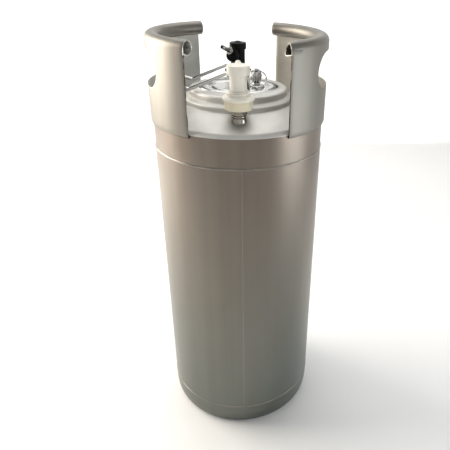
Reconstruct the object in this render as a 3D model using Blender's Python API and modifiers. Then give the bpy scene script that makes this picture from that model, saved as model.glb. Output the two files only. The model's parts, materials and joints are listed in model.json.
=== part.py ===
"""A nineteen-litre stainless steel beer keg with push-on gas and liquid connectors.

Metres, +Z up. The keg's axis is Z and it stands on Z = 0. The gas post is at the front (-Y),
the liquid post at the back (+Y), and a handle panel stands on each side (-X and +X).
"""
import math

import bmesh
import bpy
from mathutils import Vector

FULL_TURN = 2 * math.pi
FRONT = -1
BACK = 1

# Clearance between pieces that touch on the real keg.
GAP = 0.0003
MERGE = 0.00001

# Vessel.
SHELL_RADIUS = 0.1140
SHELL_WALL = 0.0012
HEAD_WALL = 0.0015
HEAD_SKIRT_RADIUS = 0.1138
BOTTOM_WELD_Z = 0.0376
TOP_WELD_Z = 0.4404
SKIRT_TOP_Z = 0.4782
SHOULDER_Z = 0.4833
SHOULDER_RADIUS = 0.1110
LID_DECK_Z = 0.5145
LID_DECK_RADIUS = 0.0580

# Handle panels, each a rolled sheet with a hand hole and an inward-rolled bead on top.
HANDLE_RADIUS = 0.1165
HANDLE_WALL = 0.0022
HANDLE_LOW_Z = 0.4757
HANDLE_TOP_Z = 0.5847
BEAD_RADIUS = 0.0090
FRONT_GAP_DEG = 31.0
BACK_GAP_DEG = 29.5
HAND_HOLE_Z = 0.5445
HAND_HOLE_HEIGHT = 0.0440
HAND_HOLE_WIDTH = 0.1310

# Posts.
POST_OFFSET = 0.0835
POST_Z = 0.4965
BUNG_HOLE_RADIUS = 0.0097
DIP_TUBE_RADIUS = 0.0039
DIP_TUBE_WALL = 0.0008

# Lid. The oval is a round lid squeezed along Y.
OVAL = 0.804
OPENING_RADIUS = 0.0535
LID_TOP_Z = 0.5148
LID_TOP_RADIUS = 0.0500
LID_FLANGE_RADIUS = 0.0585

# Bail, a bent wire that hinges in two clips on the lid and presses two rubber feet on the head.
WIRE_RADIUS = 0.0025
PIVOT_X = 0.0080
PIVOT_Z = 0.5285
ARM_Y = 0.0300
CLIP_Y = 0.0355
CLIP_THICKNESS = 0.0020
CLIP_RADIUS = 0.0065
FOOT_Y = 0.0465
FOOT_RADIUS = 0.0055

# Pressure relief valve.
VALVE_X = 0.0238
VALVE_TOP_Z = 0.5325
VALVE_RADIUS = 0.0073
EYE_Z = 0.5355
EYE_RADIUS = 0.00125
PULL_RING_RADIUS = 0.0129
PULL_RING_WIRE = 0.0009
PULL_RING_TILT_DEG = 45.0

# Connectors.
CONNECTOR_LOW_Z = 0.5085
CONNECTOR_RADIUS = 0.01025
BALL_Z = 0.5115
BALL_RADIUS = 0.0015
BALL_CIRCLE = 0.0101
BALLS = 3
BARB_BORE = 0.0020
LIQUID_OUTLET_TURN_DEG = 145.8
LIQUID_OUTLET_RISE_DEG = 21.4
LIQUID_OUTLET_Z = 0.5408

# Facets round each turned piece.
BIG_STEPS = 36
LID_STEPS = 28
FITTING_STEPS = 16
SMALL_STEPS = 12
PANEL_STEPS = 16

PARTS = None
CUTTERS = None
MATERIALS = {}

COLOURS = {
    "brushed_steel": ((0.60, 0.58, 0.54), 0.38, 1.0),
    "polished_steel": ((0.68, 0.67, 0.64), 0.18, 1.0),
    "spring_steel": ((0.55, 0.55, 0.55), 0.25, 1.0),
    "white_plastic": ((0.86, 0.84, 0.78), 0.40, 0.0),
    "black_plastic": ((0.015, 0.015, 0.015), 0.35, 0.0),
    "rubber": ((0.030, 0.030, 0.030), 0.75, 0.0),
}


def clear_scene():
    """Empty the scene and make the two collections."""
    global PARTS, CUTTERS
    for item in list(bpy.data.objects):
        bpy.data.objects.remove(item)
    PARTS = bpy.data.collections.new("beer_keg")
    CUTTERS = bpy.data.collections.new("cutters")
    bpy.context.scene.collection.children.link(PARTS)
    bpy.context.scene.collection.children.link(CUTTERS)


def material(slot):
    """The named finish, made once."""
    if slot not in MATERIALS:
        colour, roughness, metallic = COLOURS[slot]
        finish = bpy.data.materials.new(slot)
        finish.use_nodes = True
        shader = finish.node_tree.nodes["Principled BSDF"]
        shader.inputs["Base Color"].default_value = (*colour, 1.0)
        shader.inputs["Roughness"].default_value = roughness
        shader.inputs["Metallic"].default_value = metallic
        MATERIALS[slot] = finish
    return MATERIALS[slot]


def add_object(name, mesh, slot, at):
    """Place a mesh as a part, or as a cutter where it has no finish."""
    item = bpy.data.objects.new(name, mesh)
    item.location = at
    if slot is None:
        item.hide_render = True
        item.display_type = "WIRE"
        CUTTERS.objects.link(item)
    else:
        mesh.materials.append(material(slot))
        PARTS.objects.link(item)
    return item


def turned(name, outline, slot, steps, at=(0, 0, 0), closed=True, degrees=360.0, start=0.0):
    """Turn an outline of (radius, z) points about Z: down the outer side, then up the inner."""
    mesh = bpy.data.meshes.new(name)
    points = [(radius, 0.0, z) for radius, z in outline]
    edges = [(i, i + 1) for i in range(len(points) - 1)]
    if closed:
        edges.append((len(points) - 1, 0))
    mesh.from_pydata(points, edges, [])
    item = add_object(name, mesh, slot, at)
    item.rotation_euler.z = math.radians(start)
    screw = item.modifiers.new("Turn", "SCREW")
    screw.angle = math.radians(degrees)
    screw.steps = steps
    screw.render_steps = steps
    screw.use_merge_vertices = degrees == 360.0
    screw.merge_threshold = MERGE
    return item


def solidify(item, wall):
    """Give an open surface a wall on its inner side."""
    skin = item.modifiers.new("Wall", "SOLIDIFY")
    skin.thickness = wall
    skin.offset = -1.0
    skin.use_even_offset = True


def boolean(item, other, operation):
    """Cut or join with another object."""
    step = item.modifiers.new(other.name, "BOOLEAN")
    step.operation = operation
    step.solver = "EXACT"
    step.object = other


def cylinder(name, radius, length, at, direction=(0, 0, 1), slot=None, sides=16, tip=None):
    """A cylinder or cone centred on a point, along a direction."""
    shape = bmesh.new()
    bmesh.ops.create_cone(
        shape,
        cap_ends=True,
        segments=sides,
        radius1=radius,
        radius2=radius if tip is None else tip,
        depth=length,
    )
    mesh = bpy.data.meshes.new(name)
    shape.to_mesh(mesh)
    shape.free()
    item = add_object(name, mesh, slot, at)
    item.rotation_euler = Vector(direction).to_track_quat("Z", "Y").to_euler()
    return item


def block(name, size, at, slot=None, rounding=0.0, segments=8):
    """A box, with its four edges along X rounded where asked."""
    shape = bmesh.new()
    bmesh.ops.create_cube(shape, size=1.0)
    bmesh.ops.scale(shape, vec=size, verts=shape.verts)
    if rounding:
        along_x = [
            edge for edge in shape.edges
            if abs(edge.verts[0].co.x - edge.verts[1].co.x) > MERGE
        ]
        bmesh.ops.bevel(
            shape, geom=along_x, offset=rounding, segments=segments,
            profile=0.5, affect="EDGES", clamp_overlap=True,
        )
    mesh = bpy.data.meshes.new(name)
    shape.to_mesh(mesh)
    shape.free()
    return add_object(name, mesh, slot, at)


def wire(name, points, radius, slot, closed=False, capped=True, resolution=2):
    """A round wire or tube along a polyline."""
    curve = bpy.data.curves.new(name, "CURVE")
    curve.dimensions = "3D"
    curve.bevel_depth = radius
    curve.bevel_resolution = resolution
    curve.use_fill_caps = capped and not closed
    line = curve.splines.new("POLY")
    line.points.add(len(points) - 1)
    line.use_cyclic_u = closed
    for spot, point in zip(line.points, points):
        spot.co = (*point, 1.0)
    item = bpy.data.objects.new(name, curve)
    curve.materials.append(material(slot))
    PARTS.objects.link(item)
    return item


def as_mesh(item):
    """Turn a curve into a mesh object with welded caps, ready for modifiers."""
    graph = bpy.context.evaluated_depsgraph_get()
    name = item.name
    mesh = bpy.data.meshes.new_from_object(item.evaluated_get(graph))
    shape = bmesh.new()
    shape.from_mesh(mesh)
    bmesh.ops.remove_doubles(shape, verts=shape.verts, dist=MERGE)
    shape.to_mesh(mesh)
    shape.free()
    place = item.matrix_world.copy()
    bpy.data.objects.remove(item)
    result = bpy.data.objects.new(name, mesh)
    result.name = name
    result.matrix_world = place
    PARTS.objects.link(result)
    return result


def arc(centre, radius, first_deg, last_deg, steps):
    """Points of an arc in the outline plane, from one angle to another."""
    points = []
    for i in range(steps + 1):
        angle = math.radians(first_deg + (last_deg - first_deg) * i / steps)
        points.append((centre[0] + radius * math.cos(angle), centre[1] + radius * math.sin(angle)))
    return points


def bent_path(corners, radius, steps=3):
    """A polyline through corner points, with each inner corner rounded."""
    path = [Vector(corners[0])]
    for before, here, after in zip(corners, corners[1:], corners[2:]):
        here = Vector(here)
        back = (Vector(before) - here).normalized()
        ahead = (Vector(after) - here).normalized()
        half = back.angle(ahead) / 2
        reach = radius / math.tan(half)
        centre = here + (back + ahead).normalized() * (radius / math.sin(half))
        first = here + back * reach - centre
        last = here + ahead * reach - centre
        for i in range(steps + 1):
            spoke = first.lerp(last, i / steps)
            path.append(centre + spoke * (radius / spoke.length))
    path.append(Vector(corners[-1]))
    return path


def coil(radius, low, high, turns, per_turn=8):
    """Points of a helix about Z."""
    count = round(turns * per_turn)
    points = []
    for i in range(count + 1):
        angle = FULL_TURN * i / per_turn
        height = low + (high - low) * i / count
        points.append((radius * math.cos(angle), radius * math.sin(angle), height))
    return points


def spring(name, radius, wire_radius, low, high, turns, at_x, at_y):
    """A coil spring standing between two heights."""
    points = coil(radius, low + wire_radius, high - wire_radius, turns)
    item = wire(name, points, wire_radius, "spring_steel", resolution=0)
    item.location = (at_x, at_y, 0)
    return item


def seal_ring(name, radius, section, z, steps, at=(0, 0, 0), slot="rubber"):
    """An O-ring of round section."""
    outline = arc((radius, z), section, 90.0, 90.0 - 360.0, 6)[:-1]
    return turned(name, outline, slot, steps, at)


# ---------------------------------------------------------------- vessel


def make_shell():
    """The rolled and seam-welded body between the two circular welds."""
    inner = SHELL_RADIUS - SHELL_WALL
    low = BOTTOM_WELD_Z + GAP
    high = TOP_WELD_Z - GAP
    turned(
        "shell",
        [(SHELL_RADIUS, high), (SHELL_RADIUS, low), (inner, low), (inner, high)],
        "brushed_steel", BIG_STEPS,
    )


def make_top_head():
    """The pressed dome, in three solids: lid deck, cone with its shoulder, and straight skirt."""
    outlines = {
        "lid_deck": [
            (0.0, LID_DECK_Z),
            (LID_DECK_RADIUS, LID_DECK_Z),
            (0.0648, 0.5130),
            (0.0656, 0.5062),
            (0.0688, 0.50385),
        ],
        "top_head": [
            (0.0693, 0.50350),
            (0.0725, 0.5011),
            (0.0732, 0.4973),
            (SHOULDER_RADIUS, SHOULDER_Z),
            (0.1133, 0.4815),
            (HEAD_SKIRT_RADIUS, SKIRT_TOP_Z + GAP),
        ],
        "top_head_skirt": [
            (HEAD_SKIRT_RADIUS, SKIRT_TOP_Z),
            (HEAD_SKIRT_RADIUS, TOP_WELD_Z + GAP),
        ],
    }
    heads = {}
    for name, outline in outlines.items():
        heads[name] = turned(name, outline, "brushed_steel", BIG_STEPS, closed=False)
        solidify(heads[name], HEAD_WALL)
    opening = cylinder("lid_opening", OPENING_RADIUS, 0.02, (0, 0, LID_DECK_Z), sides=BIG_STEPS)
    opening.scale.y = OVAL
    boolean(heads["lid_deck"], opening, "DIFFERENCE")
    for side in (FRONT, BACK):
        hole = cylinder(
            "bung_hole", BUNG_HOLE_RADIUS, 0.03, (0, side * POST_OFFSET, POST_Z), sides=FITTING_STEPS
        )
        boolean(heads["top_head"], hole, "DIFFERENCE")


def make_bottom_head():
    """The dished bottom, set inside the lower end of the shell, with its sump at the centre."""
    radius = SHELL_RADIUS - SHELL_WALL - 0.0004
    outline = [
        (radius, BOTTOM_WELD_Z + 0.0104),
        (radius, 0.0330),
        (0.1090, 0.0270),
        (0.0950, 0.0200),
        (0.0650, 0.0142),
        (0.0300, 0.0122),
        (0.0, 0.0118),
    ]
    solidify(turned("bottom_head", outline, "brushed_steel", BIG_STEPS, closed=False), HEAD_WALL)


def make_foot_ring():
    """The skirt that the keg stands on, rolled inwards at its lower edge."""
    top = BOTTOM_WELD_Z - GAP
    outline = [
        (SHELL_RADIUS, top),
        (0.1138, 0.0200),
        (0.1125, 0.0095),
        (0.1097, 0.0030),
        (0.1062, 0.0),
        (0.1030, 0.0),
        (0.1012, 0.0024),
        (0.1030, 0.0042),
        (0.1058, 0.0028),
        (0.1085, 0.0050),
        (0.1110, 0.0105),
        (0.1124, 0.0200),
        (SHELL_RADIUS - SHELL_WALL, top),
    ]
    turned("foot_ring", outline, "brushed_steel", BIG_STEPS)


def make_handle(name, start_deg):
    """A handle panel: wall, rolled bead and hand hole."""
    bead = (HANDLE_RADIUS - BEAD_RADIUS, HANDLE_TOP_Z - BEAD_RADIUS)
    outline = arc(bead, BEAD_RADIUS, 312.0, 0.0, 8)
    outline.append((HANDLE_RADIUS, HAND_HOLE_Z))
    outline.append((HANDLE_RADIUS, HANDLE_LOW_Z))
    sweep = 180.0 - FRONT_GAP_DEG - BACK_GAP_DEG
    panel = turned(
        name, outline, "brushed_steel", PANEL_STEPS,
        closed=False, degrees=sweep, start=start_deg,
    )
    solidify(panel, HANDLE_WALL)
    return panel


def make_handles():
    """Both panels, and the slot that cuts their hand holes."""
    right = make_handle("right_handle", FRONT_GAP_DEG - 90.0)
    left = make_handle("left_handle", 90.0 + BACK_GAP_DEG)
    for panel, side in ((right, 1), (left, -1)):
        slot = block(
            "hand_hole", (0.06, HAND_HOLE_WIDTH, HAND_HOLE_HEIGHT),
            (side * (HANDLE_RADIUS - 0.015), 0, HAND_HOLE_Z),
            rounding=HAND_HOLE_HEIGHT / 2 - MERGE,
        )
        boolean(panel, slot, "DIFFERENCE")


# ---------------------------------------------------------------- posts


def make_bung(prefix, at):
    """The threaded bung welded into the head."""
    outline = [
        (0.0072, POST_Z + 0.0070),
        (0.0072, POST_Z - 0.0003),
        (0.0094, POST_Z - 0.0003),
        (0.0094, POST_Z - 0.0100),
        (0.0046, POST_Z - 0.0100),
        (0.0046, POST_Z + 0.0070),
    ]
    turned(prefix + "_bung", outline, "polished_steel", FITTING_STEPS, at)


def make_post(prefix, at):
    """The post: hexagon, ball groove, bulge, seal groove and lip, hollow all the way up."""
    outline = [
        (0.0074, POST_Z + 0.0280),
        (0.0080, POST_Z + 0.0272),
        (0.0080, POST_Z + 0.0247),
        (0.0066, POST_Z + 0.0241),
        (0.0066, POST_Z + 0.0213),
        (0.0082, POST_Z + 0.0207),
        (0.0082, POST_Z + 0.0175),
        (0.0070, POST_Z + 0.0165),
        (0.0070, POST_Z + 0.0138),
        (0.0086, POST_Z + 0.0105),
        (0.0086, POST_Z + 0.0007),
        (0.0076, POST_Z + 0.0007),
        (0.0076, POST_Z + 0.0104),
        (0.0044, POST_Z + 0.0108),
        (0.0044, POST_Z + 0.0235),
        (0.0026, POST_Z + 0.0255),
        (0.0026, POST_Z + 0.0280),
    ]
    post = turned(prefix + "_post", outline, "polished_steel", FITTING_STEPS, at)
    hexagon = cylinder(
        prefix + "_hexagon", 0.0101, 0.0056,
        (at[0], at[1], POST_Z + 0.0037), sides=6,
    )
    hexagon.rotation_euler.z = math.radians(30.0)
    bore = cylinder(
        prefix + "_hexagon_bore", 0.0080, 0.02,
        (at[0], at[1], POST_Z + 0.0033), sides=FITTING_STEPS,
    )
    boolean(hexagon, bore, "DIFFERENCE")
    boolean(post, hexagon, "UNION")
    seal_ring(prefix + "_post_o_ring", 0.0076, 0.0008, POST_Z + 0.0227, FITTING_STEPS, at)


def flanged_tube_outline(low):
    """Outline of a dip tube's flanged top, down to a height."""
    bore = DIP_TUBE_RADIUS - DIP_TUBE_WALL
    return [
        (0.0065, POST_Z + 0.0101),
        (0.0065, POST_Z + 0.0091),
        (DIP_TUBE_RADIUS, POST_Z + 0.0091),
        (DIP_TUBE_RADIUS, low),
        (bore, low),
        (bore, POST_Z + 0.0101),
    ]


def make_gas_dip_tube(at):
    """The short tube under the gas post."""
    outline = flanged_tube_outline(POST_Z - 0.0400)
    turned("gas_dip_tube", outline, "polished_steel", SMALL_STEPS, at)


def make_liquid_dip_tube(at):
    """The long tube under the liquid post, swept towards the sump at its lower end."""
    joint_z = POST_Z - 0.0200
    head = turned(
        "liquid_dip_tube", flanged_tube_outline(joint_z), "polished_steel", SMALL_STEPS, at
    )
    y = at[1]
    corners = [(0, y, joint_z + 0.001), (0, y, 0.062), (0, 0.058, 0.0235), (0, 0.018, 0.0190)]
    line = wire(
        "liquid_dip_tube_run", bent_path(corners, 0.022, 4),
        DIP_TUBE_RADIUS - MERGE, "polished_steel", capped=False,
    )
    run = as_mesh(line)
    solidify(run, DIP_TUBE_WALL - 2 * MERGE)
    PARTS.objects.unlink(run)
    CUTTERS.objects.link(run)
    run.hide_render = True
    run.display_type = "WIRE"
    boolean(head, run, "UNION")


def make_dip_tube_seal(prefix, at):
    """The flat seal between bung and dip tube flange."""
    low = POST_Z + 0.0073
    high = POST_Z + 0.0088
    outline = [(0.0066, high), (0.0066, low), (0.0045, low), (0.0045, high)]
    turned(prefix + "_dip_tube_seal", outline, "rubber", SMALL_STEPS, at)


def make_poppet(prefix, at):
    """The sprung valve inside a post, closed, with its tip just under the post's lip."""
    outline = [
        (0.0, POST_Z + 0.0276),
        (0.0020, POST_Z + 0.0276),
        (0.0020, POST_Z + 0.0246),
        (0.0036, POST_Z + 0.0232),
        (0.0038, POST_Z + 0.0186),
        (0.0014, POST_Z + 0.0183),
        (0.0014, POST_Z + 0.0135),
        (0.0, POST_Z + 0.0135),
    ]
    turned(prefix + "_poppet", outline, "rubber", SMALL_STEPS, at, closed=False)
    spring(
        prefix + "_poppet_spring", 0.0028, 0.00035,
        POST_Z + 0.0104, POST_Z + 0.0180, 3.5, at[0], at[1],
    )


def make_post_set(prefix, side):
    """Everything at one post except its dip tube."""
    at = (0, side * POST_OFFSET, 0)
    make_bung(prefix, at)
    make_post(prefix, at)
    make_dip_tube_seal(prefix, at)
    make_poppet(prefix, at)


# ---------------------------------------------------------------- lid


def make_lid():
    """The oval lid, its flange under the head, and the seal that it squeezes."""
    outline = [
        (0.0, LID_TOP_Z),
        (LID_TOP_RADIUS, LID_TOP_Z),
        (0.0515, 0.5128),
        (0.0520, 0.5078),
        (LID_FLANGE_RADIUS, 0.5074),
        (LID_FLANGE_RADIUS, 0.5050),
        (0.0500, 0.5050),
        (0.0490, 0.5122),
        (0.0, 0.5124),
    ]
    lid = turned("lid", outline, "polished_steel", LID_STEPS, closed=False)
    lid.scale.y = OVAL
    hole = cylinder("relief_valve_hole", 0.0048, 0.02, (VALVE_X, 0, LID_TOP_Z))
    boolean(lid, hole, "DIFFERENCE")
    seal = seal_ring("lid_seal", 0.0552, 0.0024, 0.5103, LID_STEPS)
    seal.scale.y = OVAL


def make_bail_clip(name, side):
    """A clip welded on the lid: an upright ear with the bail's hinge hole, on a base tab."""
    base_z = LID_TOP_Z + GAP
    ear_height = PIVOT_Z - base_z
    clip = block(
        name, (2 * CLIP_RADIUS, CLIP_THICKNESS, ear_height),
        (PIVOT_X, side * CLIP_Y, base_z + ear_height / 2), "polished_steel",
    )
    tab = block(
        name + "_tab", (2 * CLIP_RADIUS, 0.0090, 0.0016),
        (PIVOT_X, side * (CLIP_Y - 0.0040), base_z + 0.0008),
    )
    crown = cylinder(
        name + "_crown", CLIP_RADIUS, CLIP_THICKNESS,
        (PIVOT_X, side * CLIP_Y, PIVOT_Z), (0, 1, 0), sides=SMALL_STEPS,
    )
    hole = cylinder(
        name + "_hole", WIRE_RADIUS + GAP, 0.01,
        (PIVOT_X, side * CLIP_Y, PIVOT_Z), (0, 1, 0), sides=SMALL_STEPS,
    )
    boolean(clip, tab, "UNION")
    boolean(clip, crown, "UNION")
    boolean(clip, hole, "DIFFERENCE")


def make_bail():
    """The bail wire and its two rubber feet."""
    half = [
        (PIVOT_X, FOOT_Y, PIVOT_Z - 0.0080),
        (PIVOT_X, FOOT_Y, PIVOT_Z),
        (PIVOT_X, ARM_Y, PIVOT_Z),
        (-0.0150, ARM_Y, PIVOT_Z + 0.0082),
        (-0.0625, ARM_Y, 0.5168),
        (-0.0820, ARM_Y, 0.5220),
    ]
    mirrored = [(x, -y, z) for x, y, z in reversed(half)]
    wire("bail", bent_path(half + mirrored, 0.0032, 2), WIRE_RADIUS, "polished_steel", resolution=1)
    base = LID_DECK_Z + GAP
    crown = base + FOOT_RADIUS
    top = PIVOT_Z - 0.0040
    bore = WIRE_RADIUS + GAP
    floor = PIVOT_Z - 0.0083
    outline = [(0.0, floor), (bore, floor), (bore, top), (FOOT_RADIUS, top)]
    outline += arc((0.0, crown), FOOT_RADIUS, 0.0, -90.0, 4)[:-1]
    outline.append((0.0, base))
    for name, side in (("bail_foot_front", FRONT), ("bail_foot_back", BACK)):
        at = (PIVOT_X, side * FOOT_Y, 0)
        turned(name, outline, "rubber", SMALL_STEPS, at, closed=False)


def make_relief_valve():
    """The relief valve: caged body, gasket, lock nut, sprung stem and pull ring."""
    base_z = LID_TOP_Z + 0.0017
    outline = [
        (VALVE_RADIUS - 0.0010, VALVE_TOP_Z),
        (VALVE_RADIUS, VALVE_TOP_Z - 0.0010),
        (VALVE_RADIUS, base_z + 0.0022),
        (0.0092, base_z + 0.0016),
        (0.0092, base_z),
        (0.0045, base_z),
        (0.0045, 0.5050),
        (0.0025, 0.5050),
        (0.0025, base_z + 0.0016),
        (0.0056, base_z + 0.0016),
        (0.0056, VALVE_TOP_Z - 0.0018),
        (0.0025, VALVE_TOP_Z - 0.0018),
        (0.0025, VALVE_TOP_Z),
    ]
    at = (VALVE_X, 0, 0)
    body = turned("relief_valve_body", outline, "brushed_steel", FITTING_STEPS, at)
    windows = 3
    for i in range(windows):
        window = block(f"relief_window_{i}", (0.03, 0.0026, 0.0068), (VALVE_X, 0, 0.5247))
        window.rotation_euler.z = math.pi * (i + 0.5) / windows
        boolean(body, window, "DIFFERENCE")
    gasket_low = LID_TOP_Z + GAP
    gasket_high = base_z - GAP
    turned(
        "relief_valve_gasket",
        [(0.0088, gasket_high), (0.0088, gasket_low), (0.0050, gasket_low), (0.0050, gasket_high)],
        "rubber", FITTING_STEPS, at,
    )
    nut = cylinder(
        "relief_valve_nut", 0.0078, 0.0035, (VALVE_X, 0, 0.5103), slot="polished_steel", sides=6
    )
    nut_bore = cylinder("relief_valve_nut_bore", 0.0048, 0.01, (VALVE_X, 0, 0.5103))
    boolean(nut, nut_bore, "DIFFERENCE")
    seat = base_z + 0.0016 + GAP
    stem = turned(
        "relief_valve_stem",
        [
            (0.0, EYE_Z + 0.0037),
            (0.0046, EYE_Z + 0.0037),
            (0.0046, EYE_Z + 0.0024),
            (0.0021, EYE_Z + 0.0024),
            (0.0021, seat + 0.0020),
            (0.0044, seat + 0.0020),
            (0.0044, seat),
            (0.0, seat),
        ],
        "polished_steel", SMALL_STEPS, at, closed=False,
    )
    eye = cylinder("relief_stem_eye", EYE_RADIUS, 0.02, (VALVE_X, 0, EYE_Z), (1, 0, 0), sides=12)
    boolean(stem, eye, "DIFFERENCE")
    spring(
        "relief_valve_spring", 0.0036, 0.0005,
        seat + 0.0023, VALVE_TOP_Z - 0.0021, 4, VALVE_X, 0,
    )
    make_pull_ring()


def make_pull_ring():
    """The pull ring through the stem's eye, leaning forward on the valve."""
    tilt = math.radians(PULL_RING_TILT_DEG)
    slope = Vector((0, -math.cos(tilt), -math.sin(tilt)))
    centre = Vector((VALVE_X, 0, EYE_Z)) + slope * PULL_RING_RADIUS
    points = []
    count = 24
    for i in range(count):
        angle = FULL_TURN * i / count
        across = Vector((1, 0, 0)) * math.sin(angle)
        along = slope * -math.cos(angle)
        points.append(centre + (across + along) * PULL_RING_RADIUS)
    wire("relief_valve_ring", points, PULL_RING_WIRE, "polished_steel", closed=True, resolution=1)


# ---------------------------------------------------------------- connectors


def outlet_direction(turn_deg, rise_deg):
    """Unit vector of a connector's outlet: turn from +Y about Z, and rise above level."""
    turn = math.radians(turn_deg)
    rise = math.radians(rise_deg)
    return Vector((
        -math.sin(turn) * math.cos(rise), math.cos(turn) * math.cos(rise), math.sin(rise)
    ))


def make_connector_body(prefix, at, slot, top_z, outlet):
    """The connector's body, without its outlet."""
    seat_z = CONNECTOR_LOW_Z + 0.0180
    outline = [
        (CONNECTOR_RADIUS, top_z),
        (CONNECTOR_RADIUS, 0.5237),
        (0.0140, 0.5237),
        (0.0140, 0.5225),
        (CONNECTOR_RADIUS, 0.5225),
        (CONNECTOR_RADIUS, CONNECTOR_LOW_Z),
        (0.0087, CONNECTOR_LOW_Z),
        (0.0087, seat_z),
        (0.0040, seat_z),
        (0.0040, seat_z + 0.0024),
        (0.0075, seat_z + 0.0024),
        (0.0075, top_z),
    ]
    body = turned(prefix + "_connector_body", outline, slot, FITTING_STEPS, at)
    for i in range(BALLS):
        angle = FULL_TURN * (i + 0.25) / BALLS
        outward = Vector((math.cos(angle), math.sin(angle), 0))
        centre = Vector((at[0], at[1], BALL_Z))
        pocket = cylinder(
            f"{prefix}_ball_pocket_{i + 1}", BALL_RADIUS + GAP, 0.006,
            centre + outward * BALL_CIRCLE, outward, sides=8,
        )
        boolean(body, pocket, "DIFFERENCE")
        make_ball(f"{prefix}_connector_ball_{i + 1}", centre + outward * BALL_CIRCLE)
    for piece in outlet:
        boolean(body, piece, "UNION")
    return body


def make_ball(name, at):
    """A locking ball."""
    shape = bmesh.new()
    bmesh.ops.create_uvsphere(shape, u_segments=6, v_segments=4, radius=BALL_RADIUS)
    mesh = bpy.data.meshes.new(name)
    shape.to_mesh(mesh)
    shape.free()
    add_object(name, mesh, "polished_steel", at)


def make_cap(prefix, at, slot, radius, low, top, ceiling, crown):
    """The screw cap over the top of a connector, and the flat seal under it."""
    outline = [
        (0.0, top + crown),
        (radius * 0.35, top + crown),
        (radius * 0.40, top),
        (radius - 0.0009, top),
        (radius, top - 0.0009),
        (radius, low),
        (0.0108, low),
        (0.0108, ceiling),
        (0.0, ceiling),
    ]
    turned(prefix + "_connector_cap", outline, slot, FITTING_STEPS, at, closed=False)
    turned(
        prefix + "_connector_cap_seal",
        [
            (0.0100, ceiling - GAP),
            (0.0100, ceiling - 0.0012),
            (0.0078, ceiling - 0.0012),
            (0.0078, ceiling - GAP),
        ],
        "rubber", FITTING_STEPS, at,
    )


def make_collar(prefix, at, slot):
    """The locking collar that is pulled up to free the balls, with its spring."""
    outline = [
        (0.0120, 0.5280),
        (0.0122, 0.5252),
        (0.0168, 0.5222),
        (0.0194, 0.5203),
        (0.0194, 0.5178),
        (0.0178, 0.5163),
        (0.0163, 0.5158),
        (0.0163, 0.5065),
        (0.0126, 0.5065),
        (0.0126, 0.5148),
        (0.0150, 0.5148),
        (0.0150, 0.5243),
        (0.0107, 0.5243),
        (0.0107, 0.5280),
    ]
    turned(prefix + "_connector_collar", outline, slot, FITTING_STEPS, at)
    spring(
        prefix + "_connector_collar_spring", 0.0134, 0.0005,
        0.5151, 0.5222, 3, at[0], at[1],
    )


def make_pin(prefix, at, ceiling):
    """The sprung pin that opens the post's poppet."""
    seat = CONNECTOR_LOW_Z + 0.0204 + GAP
    outline = [
        (0.0, seat + 0.0090),
        (0.0020, seat + 0.0090),
        (0.0020, seat + 0.0028),
        (0.0060, seat + 0.0028),
        (0.0060, seat),
        (0.0018, seat),
        (0.0018, POST_Z + 0.0280),
        (0.0, POST_Z + 0.0280),
    ]
    turned(prefix + "_connector_pin", outline, "white_plastic", SMALL_STEPS, at, closed=False)
    spring(
        prefix + "_connector_pin_spring", 0.0046, 0.0004,
        seat + 0.0031, ceiling - 0.0006, 5, at[0], at[1],
    )


def make_gas_connector():
    """The white gas connector, whose barb is moulded in one with its body."""
    at = (0, FRONT * POST_OFFSET, 0)
    axis = outlet_direction(0.0, 28.0)
    root = Vector((0, at[1], 0.5345))
    reach = 0.0396
    start = 0.0102
    barb = cylinder(
        "gas_barb_tube", 0.0031, reach - start, root + axis * (reach + start) / 2, axis, sides=12
    )
    outlet = [barb]
    ridges = 3
    for i in range(ridges):
        spot = root + axis * (reach - 0.0032 - i * 0.0062)
        outlet.append(cylinder(
            f"gas_barb_ridge_{i + 1}", 0.0038, 0.0048, spot, axis, sides=12, tip=0.0029
        ))
    body = make_connector_body("gas", at, "white_plastic", 0.5530, outlet)
    bore = cylinder("gas_barb_bore", BARB_BORE, reach, root + axis * (reach / 2 + 0.006), axis)
    boolean(body, bore, "DIFFERENCE")
    make_cap("gas", at, "white_plastic", 0.01345, 0.5463, 0.5570, 0.5545, 0.0)
    make_collar("gas", at, "white_plastic")
    make_pin("gas", at, 0.5545)


def make_liquid_connector():
    """The black liquid connector: its steel barb screws into a flared boss on a lower web."""
    at = (0, BACK * POST_OFFSET, 0)
    axis = outlet_direction(LIQUID_OUTLET_TURN_DEG, LIQUID_OUTLET_RISE_DEG)
    root = Vector((0, at[1], LIQUID_OUTLET_Z))
    web_root = root - Vector((0, 0, 0.0050))
    neck_end = 0.0141
    flare_end = 0.0168
    boss_end = 0.0197
    lengths = (
        ("liquid_boss_neck", root, 0.0080, neck_end + GAP, 0.0028, 0.0028),
        ("liquid_boss_flare", root, neck_end, flare_end, 0.0028, 0.0068),
        ("liquid_boss_head", root, flare_end - GAP, boss_end, 0.0068, 0.0068),
        ("liquid_boss_web", web_root, 0.0080, 0.0180, 0.0042, 0.0050),
    )
    outlet = [
        cylinder(name, first, high - low, start + axis * (low + high) / 2, axis, sides=16, tip=last)
        for name, start, low, high, first, last in lengths
    ]
    body = make_connector_body("liquid", at, "black_plastic", 0.5540, outlet)
    for name, radius, low, high in (
        ("liquid_flow_bore", 0.0015, 0.0060, boss_end), ("liquid_boss_bore", 0.0026, neck_end, 0.0400)
    ):
        bore = cylinder(name, radius, high - low, root + axis * (low + high) / 2, axis, sides=12)
        boolean(body, bore, "DIFFERENCE")
    make_cap("liquid", at, "black_plastic", 0.01215, 0.5490, 0.5580, 0.5555, 0.0016)
    make_collar("liquid", at, "black_plastic")
    make_pin("liquid", at, 0.5555)
    make_liquid_barb(root, axis, boss_end)


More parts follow.
